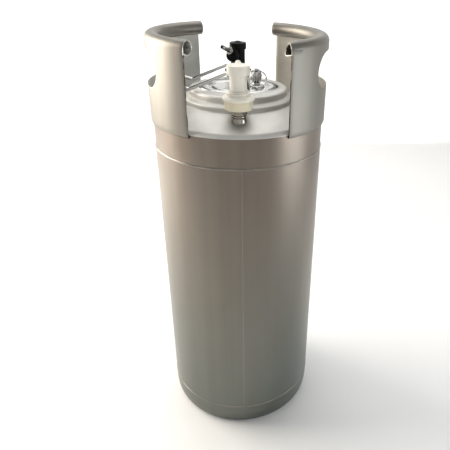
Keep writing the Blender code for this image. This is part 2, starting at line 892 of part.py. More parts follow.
def make_liquid_barb(root, axis, boss_end):
    """The steel barb, with a hexagon against the boss."""
    flange_start = boss_end + GAP
    flange = 0.0030
    tip = 0.0420
    low = 0.0145
    barb = cylinder(
        "liquid_connector_barb", 0.0022, tip - low, root + axis * (tip + low) / 2, axis,
        slot="polished_steel", sides=12,
    )
    shoulder = cylinder(
        "liquid_barb_flange", 0.0052, flange,
        root + axis * (flange_start + flange / 2), axis, sides=6,
    )
    boolean(barb, shoulder, "UNION")
    ridges = 3
    for i in range(ridges):
        spot = root + axis * (tip - 0.0026 - i * 0.0055)
        ridge = cylinder(
            f"liquid_barb_ridge_{i + 1}", 0.0030, 0.0040, spot, axis, sides=12, tip=0.0024
        )
        boolean(barb, ridge, "UNION")
    bore = cylinder("liquid_barb_bore", 0.0014, 0.06, root + axis * tip / 2, axis, sides=8)
    boolean(barb, bore, "DIFFERENCE")


def shade_round():
    """Shade the round pieces smooth, with their real edges sharp."""
    for item in PARTS.objects:
        if item.type == "MESH" and item.data.polygons:
            item.data.shade_smooth()
            item.data.set_sharp_from_angle(angle=math.radians(30.0))


def main():
    """Build every piece of the keg."""
    clear_scene()
    make_shell()
    make_top_head()
    make_bottom_head()
    make_foot_ring()
    make_handles()
    for prefix, side in (("gas", FRONT), ("liquid", BACK)):
        make_post_set(prefix, side)
    make_gas_dip_tube((0, FRONT * POST_OFFSET, 0))
    make_liquid_dip_tube((0, BACK * POST_OFFSET, 0))
    make_lid()
    make_bail_clip("bail_clip_front", FRONT)
    make_bail_clip("bail_clip_back", BACK)
    make_bail()
    make_relief_valve()
    make_gas_connector()
    make_liquid_connector()
    shade_round()


main()
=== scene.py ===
"""Looks of the beer keg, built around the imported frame. Metres, +Z up, front at -Y."""
import json
import math

import bmesh
import bpy
from mathutils import Matrix, Vector


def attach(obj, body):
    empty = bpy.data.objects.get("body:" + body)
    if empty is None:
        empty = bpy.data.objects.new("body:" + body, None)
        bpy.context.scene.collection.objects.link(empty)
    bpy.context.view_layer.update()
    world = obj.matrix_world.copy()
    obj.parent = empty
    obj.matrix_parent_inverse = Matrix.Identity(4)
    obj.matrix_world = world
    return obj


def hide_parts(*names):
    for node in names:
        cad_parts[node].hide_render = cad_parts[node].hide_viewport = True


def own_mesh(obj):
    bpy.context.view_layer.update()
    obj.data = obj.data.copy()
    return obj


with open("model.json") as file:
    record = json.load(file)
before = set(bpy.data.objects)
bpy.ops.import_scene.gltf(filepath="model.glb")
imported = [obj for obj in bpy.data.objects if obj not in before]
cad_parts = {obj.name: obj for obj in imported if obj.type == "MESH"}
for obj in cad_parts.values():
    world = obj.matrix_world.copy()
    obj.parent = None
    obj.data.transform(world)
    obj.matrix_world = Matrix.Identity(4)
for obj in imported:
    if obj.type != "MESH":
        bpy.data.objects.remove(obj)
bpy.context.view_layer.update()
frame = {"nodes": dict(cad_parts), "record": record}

TAU = 2 * math.pi
FRONT = -1
BACK = 1
WELD_DIST = 0.000001

# Vessel.
SHELL_RADIUS = 0.1140
SHELL_WALL = 0.0012
HEAD_WALL = 0.0015
SKIRT_RADIUS = 0.1138
SKIRT_TOP_Z = 0.4782
BOTTOM_WELD_Z = 0.0376
TOP_WELD_Z = 0.4404
GAP = 0.0003
POST_OFFSET = 0.0835
POST_Z = 0.4965
OVAL = 0.804
SEAM_DEG = -88.5
RING_STEPS = 192

# Handle panels.
PANEL_RADIUS = 0.1165
PANEL_WALL = 0.0016
PANEL_LOW_Z = 0.4757
PANEL_TOP_Z = 0.5847
BEAD_RADIUS = 0.0090
CURL_DEG = 318.0
FRONT_GAP_DEG = 31.0
BACK_GAP_DEG = 29.5
HOLE_Z = 0.5445
HOLE_HALF_HEIGHT = 0.0220
HOLE_HALF_WIDTH = 0.0655
EDGE_FACE_AREA = 0.0001

# Lid, bail, valve and connectors.
PIVOT_X = 0.0080
PIVOT_Z = 0.5285
ARM_Y = 0.0300
CLIP_Y = 0.0355
FOOT_Y = 0.0465
VALVE_X = 0.0238
EYE_Z = 0.5355
LIQUID_OUTLET_TURN_DEG = 145.8
LIQUID_OUTLET_RISE_DEG = 21.4
LIQUID_OUTLET_Z = 0.5408
BALL_Z = 0.5115
BALL_RADIUS = 0.0015
BALL_CIRCLE = 0.0101
CLIP_BASE_Z = 0.5151
BAIL_WIRE_RADIUS = 0.0023
PULL_RING_RADIUS = 0.0129
PULL_RING_WIRE = 0.0010
CAVITY_RADIUS = 0.00755
SKIRT_JOIN_Z = 0.5172

# Stage: a round paper floor that bends up into a wall.
FLOOR_SIDES = 96
FLOOR_FLAT = 1.9
FLOOR_BEND = 1.0
FLOOR_WALL_TOP = 3.2
CAMERA_AT = (0.0, -0.6638, 0.6632)
CAMERA_YAW_PITCH_ROLL_DEG = (4.7607, 28.3679, 1.5501)
CAMERA_LENS_MM = 39.24
CAMERA_SHIFT_X = -0.1133


# ===== Materials


def shader_of(name):
    """A new node material, its node tree and its Principled shader."""
    finish = bpy.data.materials.new(name)
    finish.use_nodes = True
    tree = finish.node_tree
    return finish, tree, tree.nodes["Principled BSDF"]


def object_noise(tree, scale, stretch=(1, 1, 1), detail=4.0, rough=0.55):
    """Noise in object space, stretched per axis."""
    coords = tree.nodes.new("ShaderNodeTexCoord")
    mapping = tree.nodes.new("ShaderNodeMapping")
    mapping.inputs["Scale"].default_value = stretch
    noise = tree.nodes.new("ShaderNodeTexNoise")
    noise.inputs["Scale"].default_value = scale
    noise.inputs["Detail"].default_value = detail
    noise.inputs["Roughness"].default_value = rough
    tree.links.new(coords.outputs["Object"], mapping.inputs["Vector"])
    tree.links.new(mapping.outputs["Vector"], noise.inputs["Vector"])
    return noise.outputs["Fac"]


def ramp(tree, fac, stops):
    """A colour ramp over a value: stops of (position, (r, g, b))."""
    node = tree.nodes.new("ShaderNodeValToRGB")
    while len(node.color_ramp.elements) < len(stops):
        node.color_ramp.elements.new(0.5)
    for element, (position, colour) in zip(node.color_ramp.elements, stops):
        element.position = position
        element.color = (*colour, 1.0)
    tree.links.new(fac, node.inputs["Fac"])
    return node.outputs["Color"]


def span(tree, value, low, high, to_low, to_high):
    """A value mapped from one range to another."""
    node = tree.nodes.new("ShaderNodeMapRange")
    node.inputs["From Min"].default_value = low
    node.inputs["From Max"].default_value = high
    node.inputs["To Min"].default_value = to_low
    node.inputs["To Max"].default_value = to_high
    tree.links.new(value, node.inputs["Value"])
    return node.outputs["Result"]


def multiplied(tree, first, second, amount):
    """One colour multiplied by another, by an amount."""
    node = tree.nodes.new("ShaderNodeMix")
    node.data_type = "RGBA"
    node.blend_type = "MULTIPLY"
    node.inputs["Factor"].default_value = amount
    tree.links.new(first, node.inputs["A"])
    tree.links.new(second, node.inputs["B"])
    return node.outputs["Result"]


def roughen(tree, shader, value, low, high):
    """Link the shader's roughness to a pattern, between two values."""
    tree.links.new(span(tree, value, 0.3, 0.7, low, high), shader.inputs["Roughness"])


def bump(tree, shader, heights):
    """Chained bumps from (height, distance, strength)."""
    last = None
    for height, distance, strength in heights:
        node = tree.nodes.new("ShaderNodeBump")
        node.inputs["Distance"].default_value = distance
        node.inputs["Strength"].default_value = strength
        tree.links.new(height, node.inputs["Height"])
        if last is not None:
            tree.links.new(last, node.inputs["Normal"])
        last = node.outputs["Normal"]
    tree.links.new(last, shader.inputs["Normal"])


def satin_steel(name, dark, light, rough, stretch, grain=900.0, painted_reflection_tint=None):
    """Bead-blasted or brushed stainless: streaks, faint stains, fine grain and an optional painted
    reflection tone by height.
    """
    finish, tree, shader = shader_of(name)
    shader.inputs["Metallic"].default_value = 1.0
    streak = object_noise(tree, 60.0, stretch, 5.0)
    cloud = object_noise(tree, 9.0, (1, 1, 0.5), 4.0)
    fine = object_noise(tree, grain, (1, 1, 1), 2.0)
    colour = ramp(tree, streak, [(0.30, dark), (0.70, light)])
    stain = ramp(tree, cloud, [(0.35, (0.93, 0.90, 0.87)), (0.65, (1.0, 1.0, 1.0))])
    colour = multiplied(tree, colour, stain, 0.75)
    # Painted reflection tone: a colour that shifts with height, warmer at the top and cooler at the
    # bottom.
    if painted_reflection_tint is not None:
        low, high, low_colour, high_colour = painted_reflection_tint
        split = tree.nodes.new("ShaderNodeSeparateXYZ")
        coords = tree.nodes.new("ShaderNodeTexCoord")
        tree.links.new(coords.outputs["Object"], split.inputs["Vector"])
        height = span(tree, split.outputs["Z"], low, high, 0.0, 1.0)
        shade = ramp(tree, height, [(0.0, low_colour), (1.0, high_colour)])
        colour = multiplied(tree, colour, shade, 1.0)
    tree.links.new(colour, shader.inputs["Base Color"])
    roughen(tree, shader, cloud, rough - 0.05, rough + 0.05)
    bump(tree, shader, [(fine, 0.00006, 0.35), (streak, 0.00006, 0.10)])
    return finish


def bright_steel(name, dark, light, rough, scratch=220.0):
    """Polished stainless with soft scratches."""
    finish, tree, shader = shader_of(name)
    shader.inputs["Metallic"].default_value = 1.0
    marks = object_noise(tree, scratch, (1, 1, 1), 6.0, 0.7)
    cloud = object_noise(tree, 35.0, (1, 1, 1), 3.0)
    tree.links.new(ramp(tree, cloud, [(0.3, dark), (0.7, light)]), shader.inputs["Base Color"])
    roughen(tree, shader, marks, rough - 0.06, rough + 0.08)
    bump(tree, shader, [(marks, 0.00005, 0.3)])
    return finish


def plastic(name, dark, light, rough, subsurface=0.0, specular=0.5):
    """Moulded acetal: faint flow mottling and a fine skin."""
    finish, tree, shader = shader_of(name)
    shader.inputs["Specular IOR Level"].default_value = specular
    cloud = object_noise(tree, 55.0, (1, 1, 0.6), 3.0)
    skin = object_noise(tree, 1400.0, (1, 1, 1), 2.0)
    tree.links.new(ramp(tree, cloud, [(0.3, dark), (0.7, light)]), shader.inputs["Base Color"])
    roughen(tree, shader, cloud, rough - 0.05, rough + 0.06)
    if subsurface:
        shader.inputs["Subsurface Weight"].default_value = subsurface
        shader.inputs["Subsurface Scale"].default_value = 0.004
        shader.inputs["Subsurface Radius"].default_value = (1.0, 0.8, 0.6)
    bump(tree, shader, [(skin, 0.00004, 0.3)])
    return finish


def rubber(name):
    """Black rubber with a dusty bloom."""
    finish, tree, shader = shader_of(name)
    cloud = object_noise(tree, 160.0, (1, 1, 1), 5.0)
    shade = [(0.35, (0.014, 0.014, 0.014)), (0.75, (0.045, 0.044, 0.042))]
    tree.links.new(ramp(tree, cloud, shade), shader.inputs["Base Color"])
    roughen(tree, shader, cloud, 0.6, 0.8)
    bump(tree, shader, [(object_noise(tree, 900.0), 0.00006, 0.4)])
    return finish


def cut_edge(name):
    """Sheared edge of a sheet: dull steel with dark burnt flecks."""
    finish, tree, shader = shader_of(name)
    shader.inputs["Metallic"].default_value = 1.0
    flecks = object_noise(tree, 170.0, (1, 1, 0.55), 2.0, 0.4)
    shades = [(0.46, (0.012, 0.010, 0.009)), (0.54, (0.30, 0.285, 0.26))]
    tree.links.new(ramp(tree, flecks, shades), shader.inputs["Base Color"])
    roughen(tree, shader, flecks, 0.55, 0.42)
    bump(tree, shader, [(flecks, 0.00010, 0.4)])
    return finish


UPRIGHT = (1.0, 1.0, 0.012)
AROUND = (1.0, 1.0, 1.0)
# Painted reflection tone on the shell: warmer towards the top, cooler towards the bottom.
SHELL_PAINTED_REFLECTION_TINT = (0.06, 0.48, (0.90, 1.0, 0.97), (1.06, 0.93, 0.84))
# One stainless steel, painted in tones as light falls on it: dark on the shell and handle panels (painted
# shade), light on the top head (painted highlight of the overhead light).
FINISHES = {
    "shell": satin_steel(
        "shell_steel_painted_dark", (0.185, 0.177, 0.166), (0.205, 0.197, 0.186), 0.36, UPRIGHT, painted_reflection_tint=SHELL_PAINTED_REFLECTION_TINT
    ),
    "seam": satin_steel("seam_steel", (0.215, 0.208, 0.195), (0.245, 0.238, 0.225), 0.37, AROUND),
    "head": satin_steel("head_steel_painted_light", (0.55, 0.548, 0.530), (0.61, 0.607, 0.590), 0.60, AROUND),
    "panel": satin_steel("panel_steel_painted_dark", (0.195, 0.184, 0.165), (0.225, 0.214, 0.195), 0.46, UPRIGHT),
    # Painted light on the panels' inner faces: light on the left panel, dimmer on the right.
    "lining_painted_light": satin_steel("lining_painted_light_steel", (0.66, 0.67, 0.65), (0.74, 0.75, 0.73), 0.62, AROUND),
    "lining_painted_dim": satin_steel("lining_painted_dim_steel", (0.34, 0.33, 0.30), (0.40, 0.39, 0.36), 0.58, AROUND),
    "cut_edge": cut_edge("cut_edge_steel"),
    # A very dark finish for the weld bead under each panel's lower edge, the thin dark line at that edge.
    "dark_weld": bright_steel("dark_weld_steel", (0.050, 0.042, 0.034), (0.15, 0.13, 0.11), 0.42, 500.0),
    "weld": bright_steel("weld_steel", (0.19, 0.175, 0.155), (0.31, 0.295, 0.265), 0.34, 500.0),
    "polished": bright_steel("polished_steel", (0.50, 0.49, 0.47), (0.60, 0.59, 0.57), 0.20),
    "wire": bright_steel("wire_steel", (0.66, 0.655, 0.64), (0.76, 0.755, 0.74), 0.09),
    "lid": bright_steel("lid_steel", (0.40, 0.40, 0.385), (0.48, 0.48, 0.465), 0.24, 90.0),
    "satin": bright_steel("satin_steel", (0.46, 0.455, 0.45), (0.56, 0.555, 0.55), 0.32),
    # Painted shade: the valve stem's steel made near-black where it sits inside the cage.
    "core": bright_steel("stem_in_shade_steel", (0.035, 0.032, 0.028), (0.07, 0.065, 0.058), 0.4),
    "fitting": bright_steel("fitting_steel", (0.24, 0.215, 0.19), (0.36, 0.335, 0.30), 0.14),
    "spring": bright_steel("spring_steel", (0.45, 0.45, 0.44), (0.58, 0.58, 0.57), 0.24),
    "white": plastic("white_acetal", (0.80, 0.76, 0.66), (0.86, 0.83, 0.75), 0.36, 0.03),
    # Painted shade: a darker, warmer copy of the white acetal for the collar below its disc.
    "white_in_shade": plastic("white_in_shade_acetal", (0.68, 0.62, 0.45), (0.76, 0.70, 0.53), 0.40, 0.03),
    "black": plastic("black_acetal", (0.0035, 0.0035, 0.004), (0.007, 0.007, 0.0075), 0.42, 0.0, 0.12),
    "rubber": rubber("black_rubber"),
}
SLOT_FINISH = {
    "brushed_steel": "head",
    "polished_steel": "fitting",
    "spring_steel": "spring",
    "white_plastic": "white",
    "black_plastic": "black",
    "rubber": "rubber",
}


# ===== Mesh helpers


def evenly(low, high, count):
    """Values from low to high in equal steps."""
    return [low + (high - low) * i / count for i in range(count + 1)]


def soften(corners, closed=True, steps=4):
    """A polyline through corners (a, b) or (a, b, radius), with the radii rounded."""
    count = len(corners)
    path = []
    for i, corner in enumerate(corners):
        here = Vector(corner[:2])
        radius = corner[2] if len(corner) > 2 else 0.0
        if not radius or (not closed and i in (0, count - 1)):
            path.append(tuple(here))
            continue
        back = Vector(corners[i - 1][:2]) - here
        ahead = Vector(corners[(i + 1) % count][:2]) - here
        half = back.angle(ahead) / 2
        reach = min(radius / math.tan(half), 0.49 * back.length, 0.49 * ahead.length)
        back.normalize()
        ahead.normalize()
        size = reach * math.tan(half)
        centre = here + (back + ahead).normalized() * (size / math.sin(half))
        first = here + back * reach - centre
        last = here + ahead * reach - centre
        sweep = first.angle_signed(last)
        for k in range(steps + 1):
            turn = -sweep * k / steps
            c, s = math.cos(turn), math.sin(turn)
            path.append((centre.x + first.x * c - first.y * s, centre.y + first.x * s + first.y * c))
    return path


def arc(centre, radius, first_deg, last_deg, steps):
    """Points of an arc, from one angle to another."""
    points = []
    for deg in evenly(first_deg, last_deg, steps):
        angle = math.radians(deg)
        points.append((centre[0] + radius * math.cos(angle), centre[1] + radius * math.sin(angle)))
    return points


def ring_faces(rings, steps, closed):
    """Faces between successive rings, where a ring may be a single vertex."""
    faces = []
    pairs = list(zip(rings, rings[1:]))
    if closed:
        pairs.append((rings[-1], rings[0]))
    for low, high in pairs:
        if len(low) == 1 and len(high) == 1:
            continue
        for i in range(steps):
            j = (i + 1) % steps
            if len(low) == 1:
                faces.append((low[0], high[i], high[j]))
            elif len(high) == 1:
                faces.append((low[i], low[j], high[0]))
            else:
                faces.append((low[i], low[j], high[j], high[i]))
    return faces


def lofted(rows, closed=False, capped=False):
    """Vertices and faces through rows of points, where a row may be a single point."""
    verts = []
    rings = []
    for row in rows:
        rings.append(list(range(len(verts), len(verts) + len(row))))
        verts.extend(row)
    faces = ring_faces(rings, max(len(row) for row in rows), closed)
    if capped:
        faces.append(tuple(reversed(rings[0])))
        faces.append(tuple(rings[-1]))
    return verts, faces


def oval_row(half_x, half_y, z, steps, centre=(0, 0)):
    """A level oval of points."""
    row = []
    for i in range(steps):
        angle = TAU * i / steps
        row.append((centre[0] + half_x * math.cos(angle), centre[1] + half_y * math.sin(angle), z))
    return row


def revolved(outline, steps, centre=(0, 0), oval=1.0, closed=True):
    """Vertices and faces of a (radius, z) outline turned about a vertical axis."""
    rows = []
    for radius, z in outline:
        if radius < WELD_DIST:
            rows.append([(centre[0], centre[1], z)])
        else:
            rows.append(oval_row(radius, radius * oval, z, steps, centre))
    return lofted(rows, closed)


def frames_along(points, closed):
    """Two unit vectors across a path at each point, carried along without twist."""
    count = len(points)
    tangents = []
    for i in range(count):
        before = points[i - 1] if closed or i else points[i]
        after = points[(i + 1) % count] if closed or i < count - 1 else points[i]
        tangents.append((after - before).normalized())
    side = tangents[0].orthogonal().normalized()
    result = []
    for tangent in tangents:
        side = (side - tangent * side.dot(tangent)).normalized()
        result.append((side, tangent.cross(side)))
    return result


def swept(points, section, closed=False):
    """A tube of any closed section along a path, capped where it is open."""
    points = [Vector(point) for point in points]
    axes = frames_along(points, closed)
    rows = [
        [point + side * a + other * b for a, b in section]
        for point, (side, other) in zip(points, axes)
    ]
    return lofted(rows, closed, capped=not closed)


def circle(radius, sides):
    """A circle as a section."""
    return [
        (radius * math.cos(TAU * i / sides), radius * math.sin(TAU * i / sides))
        for i in range(sides)
    ]


def rounded_path(corners, radius, steps=8):
    """A 3-D polyline through corners, with each inner corner rounded."""
    path = [Vector(corners[0])]
    for before, here, after in zip(corners, corners[1:], corners[2:]):
        here = Vector(here)
        back = (Vector(before) - here).normalized()
        ahead = (Vector(after) - here).normalized()
        half = back.angle(ahead) / 2
        reach = radius / math.tan(half)
        centre = here + (back + ahead).normalized() * (radius / math.sin(half))
        first = here + back * reach - centre
        last = here + ahead * reach - centre
        for i in range(steps + 1):
            spoke = first.lerp(last, i / steps)
            path.append(centre + spoke * (radius / spoke.length))
    path.append(Vector(corners[-1]))
    return path


def object_of(name, shape):
    """A linked object that takes a bmesh's shape, which is then freed."""
    mesh = bpy.data.meshes.new(name)
    shape.to_mesh(mesh)
    shape.free()
    item = bpy.data.objects.new(name, mesh)
    bpy.context.scene.collection.objects.link(item)
    return item


def new_object(name, verts, faces):
    """A plain object of one welded mesh, with its normals out."""
    shape = bmesh.new()
    spots = [shape.verts.new(v) for v in verts]
    for face in faces:
        corners = [spots[i] for i in face]
        if len(set(corners)) > 2:
            shape.faces.new(corners)
    bmesh.ops.remove_doubles(shape, verts=shape.verts, dist=WELD_DIST)
    loose = [v for v in shape.verts if not v.link_faces]
    bmesh.ops.delete(shape, geom=loose, context="VERTS")
    bmesh.ops.recalc_face_normals(shape, faces=shape.faces)
    return object_of(name, shape)


def settle(item):
    """Apply an object's modifiers to its mesh."""
    graph = bpy.context.evaluated_depsgraph_get()
    mesh = bpy.data.meshes.new_from_object(item.evaluated_get(graph))
    item.modifiers.clear()
    item.data = mesh
    return item


def cut(item, cutters, operation="DIFFERENCE"):
    """Apply exact booleans with temporary objects, and remove those."""
    for tool in cutters:
        step = item.modifiers.new(tool.name, "BOOLEAN")
        step.operation = operation
        step.solver = "EXACT"
        step.object = tool
    settle(item)
    for tool in cutters:
        bpy.data.objects.remove(tool)
    return item


def ease(item, width, angle_deg):
    """Round every edge sharper than an angle."""
    soft = item.modifiers.new("Ease", "BEVEL")
    soft.width = width
    soft.segments = 2
    soft.limit_method = "ANGLE"
    soft.angle_limit = math.radians(angle_deg)
    soft.use_clamp_overlap = True
    return settle(item)


def dress(item, finish, body, nodes=(), sharp_deg=38.0):
    """Finish a piece: material, shading, body and the CAD nodes it stands for."""
    item.data.materials.clear()
    item.data.materials.append(FINISHES[finish])
    item.data.shade_smooth()
    item.data.set_sharp_from_angle(angle=math.radians(sharp_deg))
    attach(item, body)
    if nodes:
        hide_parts(*nodes)
    return item


def dress_vessel(item, finish, nodes=(), sharp_deg=38.0):
    """Finish a brushed-steel piece of the vessel."""
    return dress(item, finish, "vessel", nodes, sharp_deg)


def finish_below(item, finish, z):
    """Give a piece's faces below a height a second finish."""
    item.data.materials.append(FINISHES[finish])
    for face in item.data.polygons:
        if face.center.z < z:
            face.material_index = 1


def above(base, outline):
    """An outline of (radius, height above base, ...) with its heights made absolute."""
    return [(radius, base + height, *rest) for radius, height, *rest in outline]


def plug(radius, high, low):
    """The outline of a plain round cutter."""
    return [(0.0, high), (radius, high), (radius, low), (0.0, low)]


def turned(name, outline, steps, centre=(0, 0), oval=1.0):
    """An object turned from a closed outline."""
    return new_object(name, *revolved(outline, steps, centre, oval))


def axial(name, outline, root, axis, steps):
    """A piece turned about any axis, from (radius, distance) points."""
    turn = Vector(axis).to_track_quat("Z", "Y").to_matrix()
    verts, faces = revolved(outline, steps)
    return new_object(name, [turn @ Vector(v) + Vector(root) for v in verts], faces)


def bar(name, size, at, turn_deg=0.0):
    """A box used to cut slots, turned about Z."""
    shape = bmesh.new()
    bmesh.ops.create_cube(shape, size=1.0)
    bmesh.ops.scale(shape, vec=size, verts=shape.verts)
    turn = Matrix.Rotation(math.radians(turn_deg), 4, "Z")
    bmesh.ops.transform(shape, matrix=Matrix.Translation(at) @ turn, verts=shape.verts)
    return object_of(name, shape)


# ===== Vessel


def bead_row(spread, crest, root):
    """(across, radius) pairs of a weld bead: a low crown, then two points under the surface."""
    crown = [(across * spread, crest(across)) for across in evenly(-1.0, 1.0, 5)]
    return crown + [(spread, root), (-spread, root)]


def weld_ring(name, radius, z, proud, width, ripples):
    """A circular weld: a low bead with the fine ripples that a rotating torch leaves."""
    steps = ripples * 3
    rows = []
    for i in range(steps):
        angle = TAU * i / steps
        lift = proud * (1.0 + 0.16 * math.sin(angle * ripples))
        drift = 0.00012 * math.sin(angle * 7.0) + 0.00008 * math.sin(angle * 17.0 + 1.0)
        bead = bead_row(width / 2, lambda s: radius + lift * (1.0 - s * s) - 0.00005, radius - 0.0007)
        rows.append([(r * math.cos(angle), r * math.sin(angle), z + drift + up) for up, r in bead])
    item = new_object(name, *lofted(rows, closed=True))
    return dress_vessel(item, "weld", sharp_deg=60.0)


def make_shell():
    """The rolled body and its upright seam weld at the front."""
    inner = SHELL_RADIUS - SHELL_WALL
    low = BOTTOM_WELD_Z + GAP
    high = TOP_WELD_Z - GAP
    outline = [(SHELL_RADIUS, high), (SHELL_RADIUS, low), (inner, low), (inner, high)]
    item = turned("keg_shell", outline, RING_STEPS)
    dress_vessel(item, "shell", ["shell"])
    weld_ring("top_weld", SHELL_RADIUS, TOP_WELD_Z, 0.00055, 0.0026, 220)
    weld_ring("bottom_weld", SHELL_RADIUS, BOTTOM_WELD_Z, 0.00045, 0.0022, 220)
    make_seam_weld()


def make_seam_weld():
    """The planished seam down the front, a flat bead with a slight wander."""
    rows = []
    for z in evenly(BOTTOM_WELD_Z + 0.0010, TOP_WELD_Z - 0.0012, 260):
        wander = 0.00012 * math.sin(z * 95.0) + 0.00008 * math.sin(z * 410.0)
        proud = 0.00014 * (1.0 + 0.15 * math.sin(z * TAU / 0.0062))
        bead = bead_row(0.0008, lambda s: SHELL_RADIUS + proud * (1.0 - s * s) - 0.00004,
                        SHELL_RADIUS - 0.0006)
        row = []
        for across, r in bead:
            angle = math.radians(SEAM_DEG) + (across + wander) / SHELL_RADIUS
            row.append((r * math.cos(angle), r * math.sin(angle), z))
        rows.append(row)
    item = new_object("seam_weld", *lofted(rows, capped=True))
    dress_vessel(item, "seam", sharp_deg=60.0)


def make_heads():
    """The pressed top head with its raised oval mouth, and the dished bottom."""
    steps = RING_STEPS
    outer = soften([
        (0.0590, 0.5145), (0.0645, 0.5145, 0.0040), (0.0656, 0.5064, 0.0022),
        (0.0722, 0.5030, 0.0032), (0.0733, 0.4973, 0.0018), (0.1108, 0.4834, 0.0050),
        (SKIRT_RADIUS, 0.4790, 0.0034), (SKIRT_RADIUS, SKIRT_TOP_Z),
    ], closed=False, steps=6)
    inner = soften([
        (SKIRT_RADIUS - HEAD_WALL, SKIRT_TOP_Z), (SKIRT_RADIUS - HEAD_WALL, 0.4786, 0.0010),
        (0.1098, 0.4820, 0.0030), (0.0718, 0.4961, 0.0020), (0.0708, 0.5016, 0.0025),
        (0.0641, 0.5052, 0.0025), (0.0634, 0.5130, 0.0030), (0.0590, 0.5130),
    ], closed=False, steps=6)
    mouth = [
        (0.0568, 0.0480, 0.51450), (0.0558, 0.0458, 0.51460), (0.0552, 0.0450, 0.51500),
        (0.0548, 0.0445, 0.51545), (0.0543, 0.0439, 0.51560), (0.0538, 0.0434, 0.51545),
        (0.0535, 0.0430, 0.51500), (0.0535, 0.0430, 0.51300), (0.0558, 0.0456, 0.51300),
    ]
    loop = list(reversed(mouth)) + [(r, r, z) for r, z in outer + inner]
    rows = [oval_row(half_x, half_y, z, steps) for half_x, half_y, z in loop]
    item = new_object("keg_top_head", *lofted(rows, closed=True))
    holes = [
        turned(f"bung_cut_{side}", plug(0.0096, 0.52, 0.46), 48, (0, side * POST_OFFSET))
        for side in (FRONT, BACK)
    ]
    cut(item, holes)
    dress_vessel(item, "head", ["top_head", "lid_deck"], 32.0)
    inside = SKIRT_RADIUS - HEAD_WALL
    low = TOP_WELD_Z + GAP
    item = turned("keg_top_skirt", [
        (SKIRT_RADIUS, SKIRT_TOP_Z), (SKIRT_RADIUS, low), (inside, low), (inside, SKIRT_TOP_Z)
    ], steps)
    dress_vessel(item, "shell", ["top_head_skirt"])
    radius = SHELL_RADIUS - SHELL_WALL - 0.0004
    under_side = soften([
        (radius, BOTTOM_WELD_Z + 0.0104), (radius, 0.0300, 0.006), (0.0980, 0.0206, 0.02),
        (0.0620, 0.0139, 0.03), (0.0, 0.0118),
    ], closed=False, steps=8)
    upper_side = [(max(r - 0.0015, 0.0), z + 0.0015) for r, z in reversed(under_side)]
    item = turned("keg_bottom_head", under_side + upper_side, 160)
    dress_vessel(item, "shell", ["bottom_head"])


def make_foot_ring():
    """The skirt, rolled inwards where it meets the floor."""
    top = BOTTOM_WELD_Z - GAP
    outer = [
        (SHELL_RADIUS, top), (0.1138, 0.0200, 0.02), (0.1124, 0.0092, 0.008),
        (0.1096, 0.0028, 0.004), (0.1060, 0.0, 0.002), (0.1032, 0.0, 0.0015),
        (0.1012, 0.0024, 0.0012), (0.1030, 0.0042, 0.0010), (0.1058, 0.0028, 0.0012),
        (0.1085, 0.0050, 0.003), (0.1110, 0.0105, 0.008), (0.1124, 0.0200, 0.01),
        (SHELL_RADIUS - SHELL_WALL, top),
    ]
    item = turned("keg_foot_ring", soften(outer, steps=5), RING_STEPS)
    dress_vessel(item, "shell", ["foot_ring"])


# ===== Handles


def hole_outline(ends, straight):
    """The hand hole's outline as (y, z), from its top left, clockwise seen from +X."""
    flat = HOLE_HALF_WIDTH - HOLE_HALF_HEIGHT
    points = []
    for i in range(straight):
        points.append((-flat + 2 * flat * i / straight, HOLE_HALF_HEIGHT))
    for i in range(ends):
        angle = math.radians(90.0 - 180.0 * i / ends)
        points.append((flat + HOLE_HALF_HEIGHT * math.cos(angle), HOLE_HALF_HEIGHT * math.sin(angle)))
    for i in range(straight):
        points.append((flat - 2 * flat * i / straight, -HOLE_HALF_HEIGHT))
    for i in range(ends):
        angle = math.radians(-90.0 - 180.0 * i / ends)
        points.append((-flat + HOLE_HALF_HEIGHT * math.cos(angle), HOLE_HALF_HEIGHT * math.sin(angle)))
    return [(y, z + HOLE_Z) for y, z in points]


